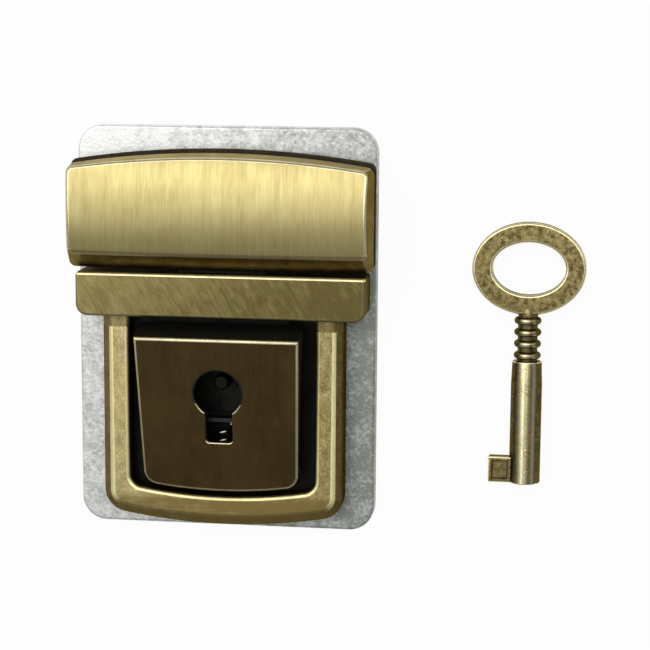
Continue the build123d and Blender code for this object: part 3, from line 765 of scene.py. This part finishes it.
    def piece(
        self, name: str, body: str, metal: Metal, slot: str, replaces: str, place: Matrix | None = None
    ) -> Object:
        """Finish the form as a piece of the scene.

        Args:
            name: The piece's name.
            body: The body that it rides on.
            metal: What it is made of.
            slot: The record's material slot for it; not used.
            replaces: The CAD node that it stands for.
            place: Where the form goes, in millimetres, or None if it is drawn in place.

        Returns:
            The piece.
        """
        self.settle()
        if place:
            bmesh.ops.transform(self.mesh, matrix=place, verts=self.mesh.verts[:])
        bmesh.ops.scale(self.mesh, vec=(MM, MM, MM), verts=self.mesh.verts[:])
        for edge in self.mesh.edges:
            edge.smooth = len(edge.link_faces) == 2 and edge.calc_face_angle() < math.radians(SHADED_SHARP)
        for face in self.mesh.faces:
            face.smooth = True
        data = bpy.data.meshes.new(name)
        self.mesh.to_mesh(data)
        self.mesh.free()
        data.materials.append(metal.material())
        made = bpy.data.objects.new(name, data)
        bpy.context.collection.objects.link(made)
        made.modifiers.new("weighted_normals", "WEIGHTED_NORMAL").keep_sharp = True
        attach(made, body)
        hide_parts(replaces)
        LOG.info("%s: %d faces, rides on %s, stands for %s", name, len(data.polygons), body, replaces)
        return made


def bow_depth(x: float, half: float, rise: float) -> float:
    """Give the distance from a chord to its arc, at x from the middle, where the arc stands out by rise."""
    radius = (half * half + rise * rise) / (2 * rise)
    return math.sqrt(radius * radius - x * x) - (radius - rise)


# Sub-assemblies


@dataclass
class LockCase:
    """The case that stays on the bag: a cast U frame, and the cross bar over its open end."""

    plate_t: float = 2.4
    tray_top: float = 3.2
    frame_half: float = 15.6
    frame_foot: float = -25.2
    frame_foot_rise: float = 1.7
    frame_corner_r: float = 2.4
    frame_h: float = 3.3
    bevel_w: float = 1.2
    bevel_h: float = 0.65
    shoulder_r: float = 0.3
    opening_half: float = 12.05
    opening_foot: float = -21.4
    opening_foot_rise: float = 1.2
    opening_r: float = 1.2
    opening_edge: float = 0.3
    arm_overlap: float = 1.0
    arm_spare: float = 1.5
    ridge_r: float = 0.34
    ridge_fade: float = 0.55
    rim_r: float = 0.22
    rim_highlight: float = 0.75
    slope_uplift: float = 0.3
    slope_shade: float = 1.25
    bar_shade: float = 1.6
    bar_shadow_strength: float = 0.55
    bar_half: float = 18.55
    bar_low: float = 2.1
    bar_high: float = 7.75
    bar_face: float = 7.7
    bar_under: float = 6.4
    bar_corner_r: float = 1.5
    bar_edge_r: float = 0.4
    bar_highlight: float = 0.12
    pocket_top: float = 6.55
    slot_half: float = 5.7
    slot_low: float = 4.5

    def build(self) -> None:
        """Make the frame and the bar, and dress the case's other pieces."""
        self.make_frame()
        self.make_bar()
        dress(BACK_ZINC, "backing_plate")
        dress(BLACK_STEEL_AND_SHADE, "case_back", "key_post", "catch_spring", "bolt_keepers", "hinge_pin")
        dress(BRIGHT_STEEL, "case_screws", "catch_rivets", "lock_bolt")
        dress(SPRING_STEEL, "tab_return_spring", "bolt_spring")

    def make_frame(self) -> None:
        """Round the frame's edges, paint highlights on its ridges and rims, paint shade on its slopes and
        paint the bar's shadow across its arms.
        """
        form = self.frame_solid()
        face_z = self.plate_t + self.frame_h
        # Painted highlights on the outer ridges and on the opening's rims
        ridges = form.sharp(lambda place: self.is_bare(place, face_z) and self.is_outer(place))
        for strip in form.rounded(ridges, self.ridge_r):
            form.marked([strip], self.ridge_highlight(strip))
        form.settle()
        rims = form.sharp(lambda place: self.is_bare(place, face_z) and not self.is_outer(place))
        form.rounded(rims, self.rim_r, wear_and_highlight=self.rim_highlight)
        form.settle()
        shoulders = form.sharp(lambda place: self.is_bare(place, face_z - self.bevel_h))
        form.rounded(shoulders, self.shoulder_r, 3, 0.0)
        form.settle()
        # Painted shade: the sloping faces darken the more they lean sideways
        for slope in form.mesh.faces:
            if slope.normal.z > self.slope_uplift and slope[form.wear_and_highlight] == 0:
                form.marked([slope], age=self.slope_shade * abs(slope.normal.x))
        # Painted shadow of the bar across the tops of the arms
        shade_y = self.bar_low - self.bar_shade
        form.scored(Y, shade_y)
        form.marked([f for f in form.mesh.faces if f.calc_center_median().y > shade_y], age=self.bar_shadow_strength)
        form.piece("case_frame", "lock_case", FRAME_BRASS, "cast_brass", "case_front")

    def frame_solid(self) -> Form:
        """Make the frame with its sloping outer edge and the opening for the tab.

        Returns:
            The form, cut off where the bar covers it.
        """
        form = Form()
        face_z, edge = self.plate_t + self.frame_h, self.opening_edge
        outer = form.outline(
            self.frame_half, self.frame_half, self.frame_foot, self.pocket_top, self.plate_t,
            foot_rise=self.frame_foot_rise, foot_r=self.frame_corner_r,
        )
        face = form.stepped(form.raised(outer, self.frame_h - self.bevel_h), self.bevel_w, self.bevel_h)
        half, head = self.opening_half + edge, self.pocket_top - self.arm_spare
        mouth = form.outline(
            half, half, self.opening_foot - edge, head, face_z,
            foot_rise=self.opening_foot_rise, foot_r=self.opening_r + edge,
        )
        throat = form.stepped(mouth, edge, -edge)
        mouth_ring = form.free_edges(face_z)
        form.filled(form.opened(face), mouth_ring)
        well = form.raised(throat, self.plate_t - face_z + edge)
        base = max(form.mesh.faces, key=lambda f: f.calc_area())
        form.filled(form.opened(base), form.opened(well))
        form.settle()
        form.cut(Y * (self.bar_low + self.arm_overlap), Y)
        form.settle()
        return form

    def is_bare(self, place: Vector, z: float) -> bool:
        """Say whether a place lies at height z where the bar doesn't cover it."""
        return place.y < self.bar_low and abs(place.z - z) < NEAR

    def is_outer(self, place: Vector) -> bool:
        """Say whether a place of the frame's face is nearer its outer edge than the opening.

        Args:
            place: The place.

        Returns:
            Whether it is.
        """
        bend = self.frame_foot_rise * (place.x / self.frame_half) ** 2
        at_foot = place.y < (self.frame_foot + self.opening_foot) / 2 + bend
        return at_foot or abs(place.x) > (self.opening_half + self.frame_half) / 2

    def ridge_highlight(self, strip: BMFace) -> float:
        """Say how bright the outer ridge's painted highlight is: full along the arms, and fading round the
        foot's corners.

        Args:
            strip: A face of the ridge.

        Returns:
            The wear there.
        """
        strip.normal_update()
        level = math.hypot(strip.normal.x, strip.normal.y)
        sideways = abs(strip.normal.x) / level if level else 0.0
        return max(0.0, (sideways - self.ridge_fade) / (1.0 - self.ridge_fade))

    def make_bar(self) -> None:
        """Make the cross bar, with the pocket under it and the slot that the tongue enters by."""
        form = Form()
        form.block(
            (-self.bar_half, self.bar_low, self.plate_t),
            (self.bar_half, self.bar_high, self.bar_face),
        )
        for half in (self.opening_half, self.slot_half):
            form.scored(X, -half)
            form.scored(X, half)
        for z in (self.tray_top, self.slot_low, self.bar_under):
            form.scored(Z, z)
        form.settle()
        mouth = self.faces_at(form, self.bar_low, self.opening_half, self.tray_top)
        form.pushed(mouth, Y * (self.pocket_top - self.bar_low))
        bmesh.ops.delete(form.mesh, geom=mouth, context="FACES")
        form.settle()
        ends = []
        for y in (self.pocket_top, self.bar_high):
            bmesh.ops.dissolve_faces(form.mesh, faces=self.faces_at(form, y, self.slot_half, self.slot_low))
            ends += self.faces_at(form, y, self.slot_half, self.slot_low)
        form.bridged(*[form.opened(end) for end in ends])
        form.settle()
        side = self.bar_half - NEAR
        roundings = ((self.bar_low, self.bar_corner_r, CORNER_STEPS), (self.bar_high, self.bar_edge_r, 4))
        for y, radius, steps in roundings:
            upright = form.sharp(lambda place: abs(place.x) > side and abs(place.y - y) < NEAR)
            form.rounded(upright, radius, steps, 0.0)
        form.settle()
        # Painted highlight: the bar's top edge stays bright, and its other brow strips get only a little
        brows = form.sharp(lambda place: place.z > self.bar_face - NEAR)
        for strip in form.rounded(brows, self.bar_edge_r, 5):
            if strip.calc_center_median().y < self.bar_high - 2 * self.bar_edge_r:
                form.marked([strip], self.bar_highlight)
        form.piece("case_bar", "lock_case", BAR_BRASS, "cast_brass", "case_front")

    def faces_at(self, form: Form, y: float, half: float, low: float) -> list[BMFace]:
        """Find the bar's faces that lie where the pocket or the slot goes through.

        Args:
            form: The bar's form.
            y: The faces' place along the lock.
            half: Half the opening's width.
            low: The opening's lower side.

        Returns:
            The faces.
        """
        found = []
        for face in form.mesh.faces:
            middle = face.calc_center_median()
            if abs(middle.y - y) < NEAR and abs(middle.x) < half and low < middle.z < self.bar_under:
                found.append(face)
        return found


@dataclass
class ThumbTab:
    """The hinged wedge that the thumb presses, with the keyhole in its face."""

    foot_half: float = 9.99
    top_half: float = 10.48
    top_y: float = -0.13
    top_z: float = 10.2
    foot_y: float = -20.5
    foot_z: float = 6.3
    foot_rise: float = 0.9
    foot_r: float = 1.5
    lip_y: float = 1.25
    lip_z: float = 6.6
    skirt_lip_z: float = 5.9
    skirt_foot_z: float = 3.5
    wall: float = 0.9
    edge: float = 0.3
    border: float = 0.5
    keyhole_y: float = -7.3
    keyhole_r: float = 3.05
    slot_w: float = 3.3
    slot_reach: float = 6.5
    slot_r: float = 0.4
    pin_y: float = -17.8
    pin_z: float = 5.0
    pin_r: float = 0.65
    rib_x: float = 7.6
    rib_half: float = 0.6
    lug_y: float = -11.12
    lug_t: float = 0.5
    lug_half: float = 3.2
    lug_saddle_z: float = 5.3
    lug_joint: float = 0.1
    lug_bite: float = 0.3
    spare: float = 1.0
    side_highlight: float = 0.45
    rim_share: float = 0.4
    rim_lean: float = 0.1
    rim_highlight: float = 0.85
    rim_shade: float = 0.8

    def build(self) -> None:
        """Make the tab as one shell with its keyhole, its pin holes, its ribs and its lug."""
        form = self.shell()
        # Painted highlights on the face's borders, brightest along the top edge
        borders = form.sharp(lambda place: self.is_on_face(place) and not self.is_at_keyhole(place))
        for strip in form.rounded(borders, self.edge, 5, self.side_highlight):
            if strip.calc_center_median().y > self.top_y - 1.5 * self.edge:
                form.marked([strip], 1.0)
        form.settle()
        # Painted highlight on the keyhole's lower rim where it leans up, and painted shade on its upper rim
        rims = form.sharp(lambda place: self.is_on_face(place) and self.is_at_keyhole(place))
        for strip in form.rounded(rims, self.edge):
            lower = strip.calc_center_median().y < self.keyhole_y - self.keyhole_r * self.rim_share
            highlight_bands = lower and strip.normal.y > self.rim_lean
            form.marked([strip], self.rim_highlight if highlight_bands else 0.0, 0.0 if lower else self.rim_shade)
        # The lug and the ribs inside are painted with shade
        inside = set(form.mesh.faces)
        self.add_works(form)
        form.marked(form.since(inside), age=1.0)
        form.piece("tab_shell", "thumb_tab", TAB_BRONZE, "tab_bronze", "thumb_tab")

    def shell(self) -> Form:
        """Make the hollow wedge with the keyhole and the hinge pin's holes.

        Returns:
            The form.
        """
        form = Form()
        face, under = self.wedge(form, 0.0)
        roof, mouth = self.wedge(form, self.wall)
        form.filled(form.opened(under), form.opened(mouth))
        form.pierced(form.stepped(face, self.border, 0.0), roof, self.keyhole_ring, Z)
        for side in (-1.0, 1.0):
            outer, inner = self.side_faces(form, side)
            form.pierced(outer, inner, self.pin_ring, X)
        form.settle()
        return form

    def add_works(self, form: Form) -> None:
        """Add the lug that the return spring pushes on, and the ribs that press the catch.

        Args:
            form: The tab's form.
        """
        back, front = self.lug_y - self.lug_t, self.lug_y
        roof = self.face_z(self.lug_y) - self.wall + self.lug_bite
        form.block((-self.lug_half, back, self.skirt_foot_z), (self.lug_half, front, self.lug_saddle_z))
        for side in (-1.0, 1.0):
            inner, outer = sorted((side * (self.slot_w / 2 + self.edge), side * self.lug_half))
            form.block((inner, back, self.lug_saddle_z - self.lug_joint), (outer, front, roof))
            x = side * self.rib_x
            form.block(
                (x - self.rib_half, self.lip_y - 1.5 * self.wall, self.skirt_lip_z),
                (x + self.rib_half, self.lip_y - self.wall / 2, self.lip_z + self.wall),
            )

    def face_z(self, y: float) -> float:
        """Give the height of the tab's face at a place along the lock."""
        return self.top_z - (self.top_y - y) * (self.top_z - self.foot_z) / (self.top_y - self.foot_y)

    def wedge(self, form: Form, inset: float) -> tuple[BMFace, BMFace]:
        """Make the tab's wedge, or the hollow inside it.

        Args:
            form: The form that it goes into.
            inset: How far it is drawn in.

        Returns:
            Its sloping face and its underside.
        """
        spread = (self.top_half - self.foot_half) / (self.top_y - self.foot_y)
        lip_half = self.top_half + spread * (self.lip_y - self.top_y)
        before = set(form.mesh.faces)
        base = form.outline(
            self.foot_half - inset, lip_half - inset, self.foot_y + inset, self.lip_y - inset,
            self.skirt_foot_z - self.spare,
            foot_rise=self.foot_rise, foot_r=self.foot_r - inset,
        )
        form.raised(base, self.top_z)
        top = Vector((0.0, self.top_y, self.top_z))
        normal = Vector((0.0, self.foot_z - self.top_z, self.top_y - self.foot_y)).normalized()
        lean = Vector((0.0, self.top_z - self.lip_z, self.lip_y - self.top_y)).normalized()
        for outward in (normal, lean):
            form.cut(top - outward * inset, outward, form.since(before))
        skirt = Vector((0.0, self.lip_y, self.skirt_lip_z))
        down = Vector((0.0, self.skirt_lip_z - self.skirt_foot_z, self.foot_y - self.lip_y)).normalized()
        form.cut(skirt, down, form.since(before))
        own = form.since(before)
        bmesh.ops.recalc_face_normals(form.mesh, faces=own)
        return form.facing(own, normal), form.facing(own, down)

    def side_faces(self, form: Form, side: float) -> list[BMFace]:
        """Find a side wall's two flat faces.

        Args:
            form: The tab's form.
            side: -1 for the left wall, 1 for the right one.

        Returns:
            The outer face and the inner one.
        """
        upright = [f for f in form.mesh.faces if abs(f.normal.x) > FACING]
        flats = [f for f in upright if f.calc_center_median().x * side > self.foot_half / 2]
        large = sorted(flats, key=lambda f: f.calc_area())[-2:]
        return sorted(large, key=lambda f: -abs(f.calc_center_median().x))

    def keyhole_ring(self, form: Form) -> list[BMEdge]:
        """Draw the keyhole's outline: a round hole with a slot for the bit.

        Args:
            form: The form that it goes into.

        Returns:
            Its edges.
        """
        known, before = set(form.mesh.faces), set(form.mesh.verts)
        half = self.slot_w / 2
        reach = math.asin(half / self.keyhole_r)
        start = form.mesh.verts.new((half, self.keyhole_y - self.keyhole_r * math.cos(reach), 0.0))
        bmesh.ops.spin(
            form.mesh, geom=[start], cent=(0.0, self.keyhole_y, 0.0), axis=Z,
            angle=2 * (math.pi - reach), steps=36, use_merge=False,
        )
        arc = [v for v in form.mesh.verts if v not in before]
        feet = [form.mesh.verts.new((x, self.keyhole_y - self.slot_reach, 0.0)) for x in (-half, half)]
        form.mesh.faces.new(arc + feet)
        form.cornered(feet, self.slot_r, 4)
        return form.opened(form.since(known)[0])

    def pin_ring(self, form: Form) -> list[BMEdge]:
        """Draw the outline of the hinge pin's hole."""
        place = Matrix.Translation((0.0, self.pin_y, self.pin_z)) @ Matrix.Rotation(math.pi / 2, 4, "Y")
        return form.ring(place, self.pin_r, 20)

    def is_on_face(self, place: Vector) -> bool:
        """Say whether a place lies in the tab's sloping face."""
        return abs(place.z - self.face_z(place.y)) < NEAR

    def is_at_keyhole(self, place: Vector) -> bool:
        """Say whether a place of the face is at the keyhole, and not at the face's borders."""
        middle_y = self.keyhole_y - self.slot_reach / 2
        return abs(place.x) < self.foot_half / 2 and abs(place.y - middle_y) < self.slot_reach


@dataclass
class FlapPiece:
    """The domed cap on the bag's flap, over its rear plate."""

    half: float = 19.06
    low: float = 8.2
    peak: float = 22.6
    flare: float = 0.4
    top_rise: float = 1.6
    lip: float = 1.8
    lip_sag: float = 0.3
    rim_z: float = 6.9
    side_h: float = 2.5
    crown_h: float = 3.5
    dome_drop: float = 1.9
    corner_r: float = 0.9
    wall: float = 0.9
    edge_r: float = 0.4
    boss_x: float = 12.5
    boss_y: float = 16.2
    boss_r: float = 1.7
    boss_foot: float = 5.3
    cuts: int = 26
    ridge_angle: float = 28.0
    crown_share: float = 0.6
    crown_uplift: float = 0.6
    top_lean: float = 0.8
    lip_shade: float = 0.35
    top_highlight: float = 0.35

    def build(self) -> None:
        """Make the cap as a shell with two bosses, and dress what holds it."""
        form = Form()
        rim, hollow = self.dome(form, 0.0), self.dome(form, self.wall)
        form.filled(form.opened(rim), form.opened(hollow))
        form.settle()
        crown_z = self.rim_z + self.side_h * self.crown_share
        # Painted shade on the lip's strips, no highlight on the steep strips, painted highlights on the rest,
        # and painted light on the faces that look towards the head
        ridges = form.sharp(lambda place: place.z > crown_z and self.is_outside(place), self.ridge_angle)
        for strip in form.rounded(ridges, self.edge_r, 5):
            strip.normal_update()
            if strip.calc_center_median().y < self.low + self.lip + 2 * self.edge_r:
                form.marked([strip], age=self.lip_shade)
            elif strip.normal.z < self.crown_uplift:
                form.marked([strip])
        upper = [f for f in form.mesh.faces if f.normal.y > self.top_lean]
        form.marked([f for f in upper if self.is_outside(f.calc_center_median())], self.top_highlight)
        height = self.rim_z + self.side_h - self.boss_foot
        for side in (-1.0, 1.0):
            place = Matrix.Translation((side * self.boss_x, self.boss_y, self.boss_foot + height / 2))
            size = {"radius1": self.boss_r, "radius2": self.boss_r, "depth": height}
            bmesh.ops.create_cone(form.mesh, cap_ends=True, segments=32, matrix=place, **size)
        form.piece("cap_shell", "flap_piece", CAP_BRASS, "cap_brass", "flap_cap")
        dress(REAR_PLATE_SHADE, "flap_rear_plate")
        dress(BRIGHT_STEEL, "flap_screws")
        # The tongue is blackened as painted shade, so the gap under the bar shows dark
        dress(BLACK_STEEL_AND_SHADE, "tongue", "tongue_rivets")

    def is_outside(self, place: Vector) -> bool:
        """Say whether a place is on the cap's outer skin, not in its hollow.

        Args:
            place: The place.

        Returns:
            Whether it is.
        """
        climb = (place.z - self.rim_z) / self.side_h
        spread = self.flare * (1 - climb) - self.wall / 2
        low = self.low + self.lip * climb + self.wall / 2 + self.lip_sag
        return abs(place.x) > self.half + spread or not low <= place.y <= self.peak - self.top_rise + spread

    def dome(self, form: Form, inset: float) -> BMFace:
        """Make the cap's domed form, or the hollow inside it.

        Args:
            form: The form that it goes into.
            inset: How far it is drawn in.

        Returns:
            The face at its rim.
        """
        top_h = self.crown_h + self.wall
        climb = top_h / self.side_h
        spread = self.flare - inset
        rim_half, rim_low, rim_peak = self.half + spread, self.low + inset, self.peak + spread
        draw_in = self.flare * climb
        before = set(form.mesh.faces)
        rim = form.outline(
            rim_half, rim_half, rim_low, rim_peak, self.rim_z,
            foot_rise=self.lip_sag / 2, head_rise=self.top_rise, foot_r=self.corner_r, head_r=self.corner_r,
        )
        high = form.raised(rim, top_h)
        scale_y = (rim_peak - draw_in - rim_low - self.lip * climb) / (rim_peak - rim_low)
        bmesh.ops.scale(
            form.mesh, vec=((rim_half - draw_in) / rim_half, scale_y, 1.0), verts=high.verts[:],
            space=Matrix.Translation(Y * -rim_peak),
        )
        bmesh.ops.translate(form.mesh, vec=Y * -draw_in, verts=high.verts[:])
        chord = self.peak - self.low + 2 * self.lip
        radius = (chord * chord / 4 + self.dome_drop**2) / (2 * self.dome_drop)
        centre = Vector((0.0, (self.low + self.peak) / 2, self.rim_z + self.crown_h - radius))
        reach = math.asin(chord / 2 / radius)
        for step in range(self.cuts + 1):
            lean = reach * (2 * step / self.cuts - 1)
            outward = Vector((0.0, math.sin(lean), math.cos(lean)))
            form.cut(centre + outward * (radius - inset), outward, form.since(before))
        own = form.since(before)
        bmesh.ops.recalc_face_normals(form.mesh, faces=own)
        return form.facing(own, -Z)


@dataclass
class BarrelKey:
    """The hollow key: an oval bow, a ringed neck, a barrel and its bit."""

    x: float = 38.6
    shoulder_y: float = -3.0
    barrel_r: float = 1.97
    barrel_top_r: float = 1.85
    barrel_l: float = 15.7
    barrel_edge: float = 0.14
    edge_highlight: float = 0.7
    bore_r: float = 1.1
    bore_l: float = 8.0
    taper_l: float = 3.0
    neck_l: float = 5.9
    neck_r: float = 1.25
    neck_end_r: float = 0.7
    neck_shade: float = 0.7
    ring_r: float = 1.72
    rings: int = 4
    ring_crown: float = 0.15
    ring_highlight: float = 0.75
    margin: float = 0.1
    end_lean: float = 0.3
    bow_w: float = 14.3
    bow_h: float = 11.7
    hole_w: float = 9.2
    hole_h: float = 6.7
    bow_t: float = 1.9
    bow_edge: float = 0.3
    bow_highlight: float = 0.8
    bit_reach: float = 2.65
    bit_root: float = 0.3
    bit_h: float = 3.3
    bit_t: float = 1.6
    bit_edge: float = 0.15
    bit_border: float = 0.3
    bit_sink: float = 0.15
    # Painted highlights along the barrel: where each band lies across it, how wide it is and how bright
    highlight_bands: tuple[tuple[float, float, float], ...] = ((-0.14, 0.26, 1.0), (0.50, 0.10, 0.60))

    def build(self) -> None:
        """Make the key in its three parts, lying as it does beside the lock."""
        place = self.place()
        forms = {"key_bow": self.make_bow(), "key_shank": self.make_shank(), "key_bit": self.make_bit()}
        for name, form in forms.items():
            form.piece(name, "key", KEY_BRASS, "key_brass", "key", place)

    def place(self) -> Matrix:
        """Give the key's place: it rests on its barrel's shoulder and its last neck ring.

        Returns:
            The move from the key's own axes to the lock's.
        """
        last_ring = (self.rings - 0.5) * self.neck_l / self.rings
        tip = math.atan((self.barrel_top_r - self.ring_r) / last_ring)
        rest = Matrix.Translation((self.x, self.shoulder_y, self.barrel_top_r * math.cos(tip)))
        return rest @ Matrix.Rotation(-tip, 4, "X")

    def make_bow(self) -> Form:
        """Make the bow, an oval ring with soft edges.

        Returns:
            The form.
        """
        form = Form()
        middle = Vector((0.0, self.neck_l + self.bow_h / 2, -self.bow_t / 2))
        ovals = []
        for width, height in ((self.bow_w, self.bow_h), (self.hole_w, self.hole_h)):
            place = Matrix.LocRotScale(middle, None, Vector((width / 2, height / 2, 1.0)))
            ovals.append(form.ring(place, 1.0, 72))
        form.bridged(*ovals)
        form.pushed(form.mesh.faces[:], Z * self.bow_t)
        form.settle()
        # Painted highlights, with some wear, on the bow's rounded edges
        form.rounded(form.sharp(lambda place: True), self.bow_edge, wear_and_highlight=self.bow_highlight)
        return form

    def make_shank(self) -> Form:
        """Make the neck with its rings, and the barrel with its bore.

        Returns:
            The form.
        """
        form = Form()
        joint = self.neck_l + (self.bow_h - self.hole_h) / 4
        profile = (
            (0.0, -self.barrel_l + self.bore_l),
            (self.bore_r, -self.barrel_l + self.bore_l),
            (self.bore_r, -self.barrel_l),
            (self.barrel_r, -self.barrel_l),
            (self.barrel_r, -self.taper_l),
            (self.barrel_top_r, 0.0),
            (self.neck_r, 0.0),
            (self.neck_r, self.neck_l),
            (self.neck_end_r, joint),
            (0.0, joint),
        )
        verts = [form.mesh.verts.new((radius, along, 0.0)) for radius, along in profile]
        form.spun(verts, [form.mesh.edges.new(pair) for pair in zip(verts, verts[1:])], 56)
        form.settle()
        wide = self.neck_r + self.margin
        rims = form.sharp(lambda place: math.hypot(place.x, place.z) > wide or place.y < -self.taper_l)
        form.rounded(rims, self.barrel_edge, 2, self.edge_highlight)
        self.paint_shank_light_and_shade(form)
        known = set(form.mesh.faces)
        for ring in range(self.rings):
            circle = Matrix.Translation((self.neck_r, (ring + 0.5) * self.neck_l / self.rings, 0.0))
            edges = form.ring(circle, self.ring_r - self.neck_r, 14)
            form.spun(list(dict.fromkeys(v for e in edges for v in e.verts)), edges, 48)
        # Painted highlights on the rings' crowns
        for face in form.since(known):
            if self.radius(face) > self.ring_r - self.ring_crown:
                form.marked([face], self.ring_highlight * self.highlight_at(face.calc_center_median().x / self.ring_r))
        return form

    def highlight_at(self, across: float) -> float:
        """Say how bright the painted highlight on the shank is at a place across it, from -1 to 1."""
        return sum(most * math.exp(-(((across - at) / width) ** 2)) for at, width, most in self.highlight_bands)

    def radius(self, face: BMFace) -> float:
        """Give a face's distance from the barrel's axis."""
        middle = face.calc_center_median()
        return math.hypot(middle.x, middle.z)

    def paint_shank_light_and_shade(self, form: Form) -> None:
        """Paint highlights in bands along the barrel's crown, and paint shade into the neck's grooves.

        Args:
            form: The shank's form.
        """
        for face in form.mesh.faces:
            middle, radius = face.calc_center_median(), self.radius(face)
            if abs(face.normal.y) > self.end_lean or radius < self.neck_r - self.margin:
                continue
            if middle.y > 0:
                form.marked([face], age=self.neck_shade)
            elif radius > self.barrel_top_r - self.margin:
                form.marked([face], self.highlight_at(middle.x / self.barrel_r))

    def make_bit(self) -> Form:
        """Make the bit, a block whose faces are sunk a little inside a raised border.

        Returns:
            The form.
        """
        form = Form()
        form.block(
            (-self.barrel_r - self.bit_reach, -self.barrel_l, -self.bit_t / 2),
            (-self.barrel_r + self.bit_root, -self.barrel_l + self.bit_h, self.bit_t / 2),
        )
        form.settle()
        form.rounded(form.sharp(lambda place: True), self.bit_edge, 3)
        for face in [f for f in form.mesh.faces if abs(f.normal.z) > FACING]:
            form.stepped(face, self.bit_border, 0.0)
            form.stepped(face, self.bit_sink, -self.bit_sink)
        return form


# The studio


@dataclass(frozen=True)
class Panel:
    """A soft light that faces the lock; at a level of 1 it looks as bright as white."""

    name: str
    place: tuple[float, float, float]
    size: tuple[float, float]
    level: float
    colour: Colour

    def hang(self) -> None:
        """Put the light into the scene."""
        data = bpy.data.lights.new(self.name, "AREA")
        data.shape = "RECTANGLE"
        data.size, data.size_y = self.size
        data.energy = self.level * math.pi * self.size[0] * self.size[1]
        data.color = self.colour
        lamp = bpy.data.objects.new(self.name, data)
        lamp.location = self.place
        lamp.rotation_euler = Vector(self.place).to_track_quat("Z", "Y").to_euler()
        bpy.context.collection.objects.link(lamp)


PANELS = (
    Panel("left_panel", place=(-0.55, 0.29, 0.85), size=(0.92, 1.27), level=1.1, colour=(1.0, 0.99, 0.97)),
    Panel("right_panel", place=(0.43, 0.27, 0.88), size=(0.5, 1.32), level=1.1, colour=(1.0, 0.99, 0.97)),
    Panel("top_light", place=(-0.05, 0.47, 0.88), size=(0.9, 0.5), level=1.4, colour=(1.0, 0.985, 0.95)),
)


@dataclass
class Studio:
    """The white table, the soft light and the camera at the photograph's place, sized in metres."""

    target: Vector = field(default_factory=lambda: Vector((0.01248, 0.0005, 0.0)))
    distance: float = 0.2559
    to_right: float = 7.7
    to_top: float = 9.55
    roll: float = 0.39
    lens: float = 109.8
    table_half: float = 6.0
    table_gap: float = 0.0001
    paper: Colour = (0.90, 0.90, 0.90)
    glow: float = 0.95
    sky: Colour = (0.30, 0.302, 0.305)

    def build(self) -> None:
        """Set up the camera, the floor and the light."""
        self.place_camera()
        self.lay_floor()
        for panel in PANELS:
            panel.hang()
        world = bpy.data.worlds.new("studio")
        world.use_nodes = True
        world.node_tree.nodes["Background"].inputs["Color"].default_value = (*self.sky, 1.0)
        bpy.context.scene.world = world
        bpy.context.scene.view_settings.view_transform = "Standard"

    def place_camera(self) -> None:
        """Look at the lock from a little above its flap and to its right."""
        across, up = math.radians(self.to_right), math.radians(self.to_top)
        away = Vector((math.sin(across) * math.cos(up), math.sin(up), math.cos(across) * math.cos(up)))
        right = Y.cross(away).normalized()
        level = Matrix((right, away.cross(right), away)).transposed()
        data = bpy.data.cameras.new("photo_camera")
        data.lens = self.lens
        data.sensor_width = 36.0
        data.clip_start = 0.01
        camera = bpy.data.objects.new("photo_camera", data)
        turn = level.to_4x4() @ Matrix.Rotation(math.radians(self.roll), 4, "Z")
        camera.matrix_world = Matrix.Translation(self.target + away * self.distance) @ turn
        bpy.context.collection.objects.link(camera)
        bpy.context.scene.camera = camera

    def lay_floor(self) -> None:
        """Lay the white table, which shows as white and keeps the object's shadow."""
        sheet = bmesh.new()
        place = Matrix.Translation(Z * -self.table_gap)
        bmesh.ops.create_grid(sheet, x_segments=4, y_segments=4, size=self.table_half, matrix=place)
        data = bpy.data.meshes.new("white_table")
        sheet.to_mesh(data)
        sheet.free()
        data.materials.append(self.white())
        table = bpy.data.objects.new("white_table", data)
        bpy.context.collection.objects.link(table)

    def white(self) -> Material:
        """Make the table's material, paper that glows where the camera sees it.

        Returns:
            The material.
        """
        made = bpy.data.materials.new("white_table")
        made.use_nodes = True
        nodes = made.node_tree.nodes
        nodes.remove(nodes["Principled BSDF"])
        tree = Tree(made.node_tree)
        paper = tree.add("ShaderNodeBsdfDiffuse", {"Color": self.paper}).outputs[0]
        glow = tree.add("ShaderNodeEmission", {"Color": (1.0, 1.0, 1.0), "Strength": 1.0}).outputs[0]
        rays = tree.add("ShaderNodeLightPath").outputs
        seen = tree.sum("MAXIMUM", rays["Is Camera Ray"], rays["Is Glossy Ray"])
        seen = tree.sum("MAXIMUM", seen, rays["Is Transmission Ray"])
        mixed = tree.add("ShaderNodeMixShader", {0: tree.times(seen, self.glow), 1: paper, 2: glow})
        tree.put(mixed.outputs[0], nodes["Material Output"].inputs["Surface"])
        return made


def main() -> None:
    """Build the sub-assemblies in order."""
    logging.basicConfig(level=logging.INFO, format="%(name)s %(message)s")
    Studio().build()
    for part in (LockCase(), ThumbTab(), FlapPiece(), BarrelKey()):
        part.build()


if __name__ == "__main__":
    main()
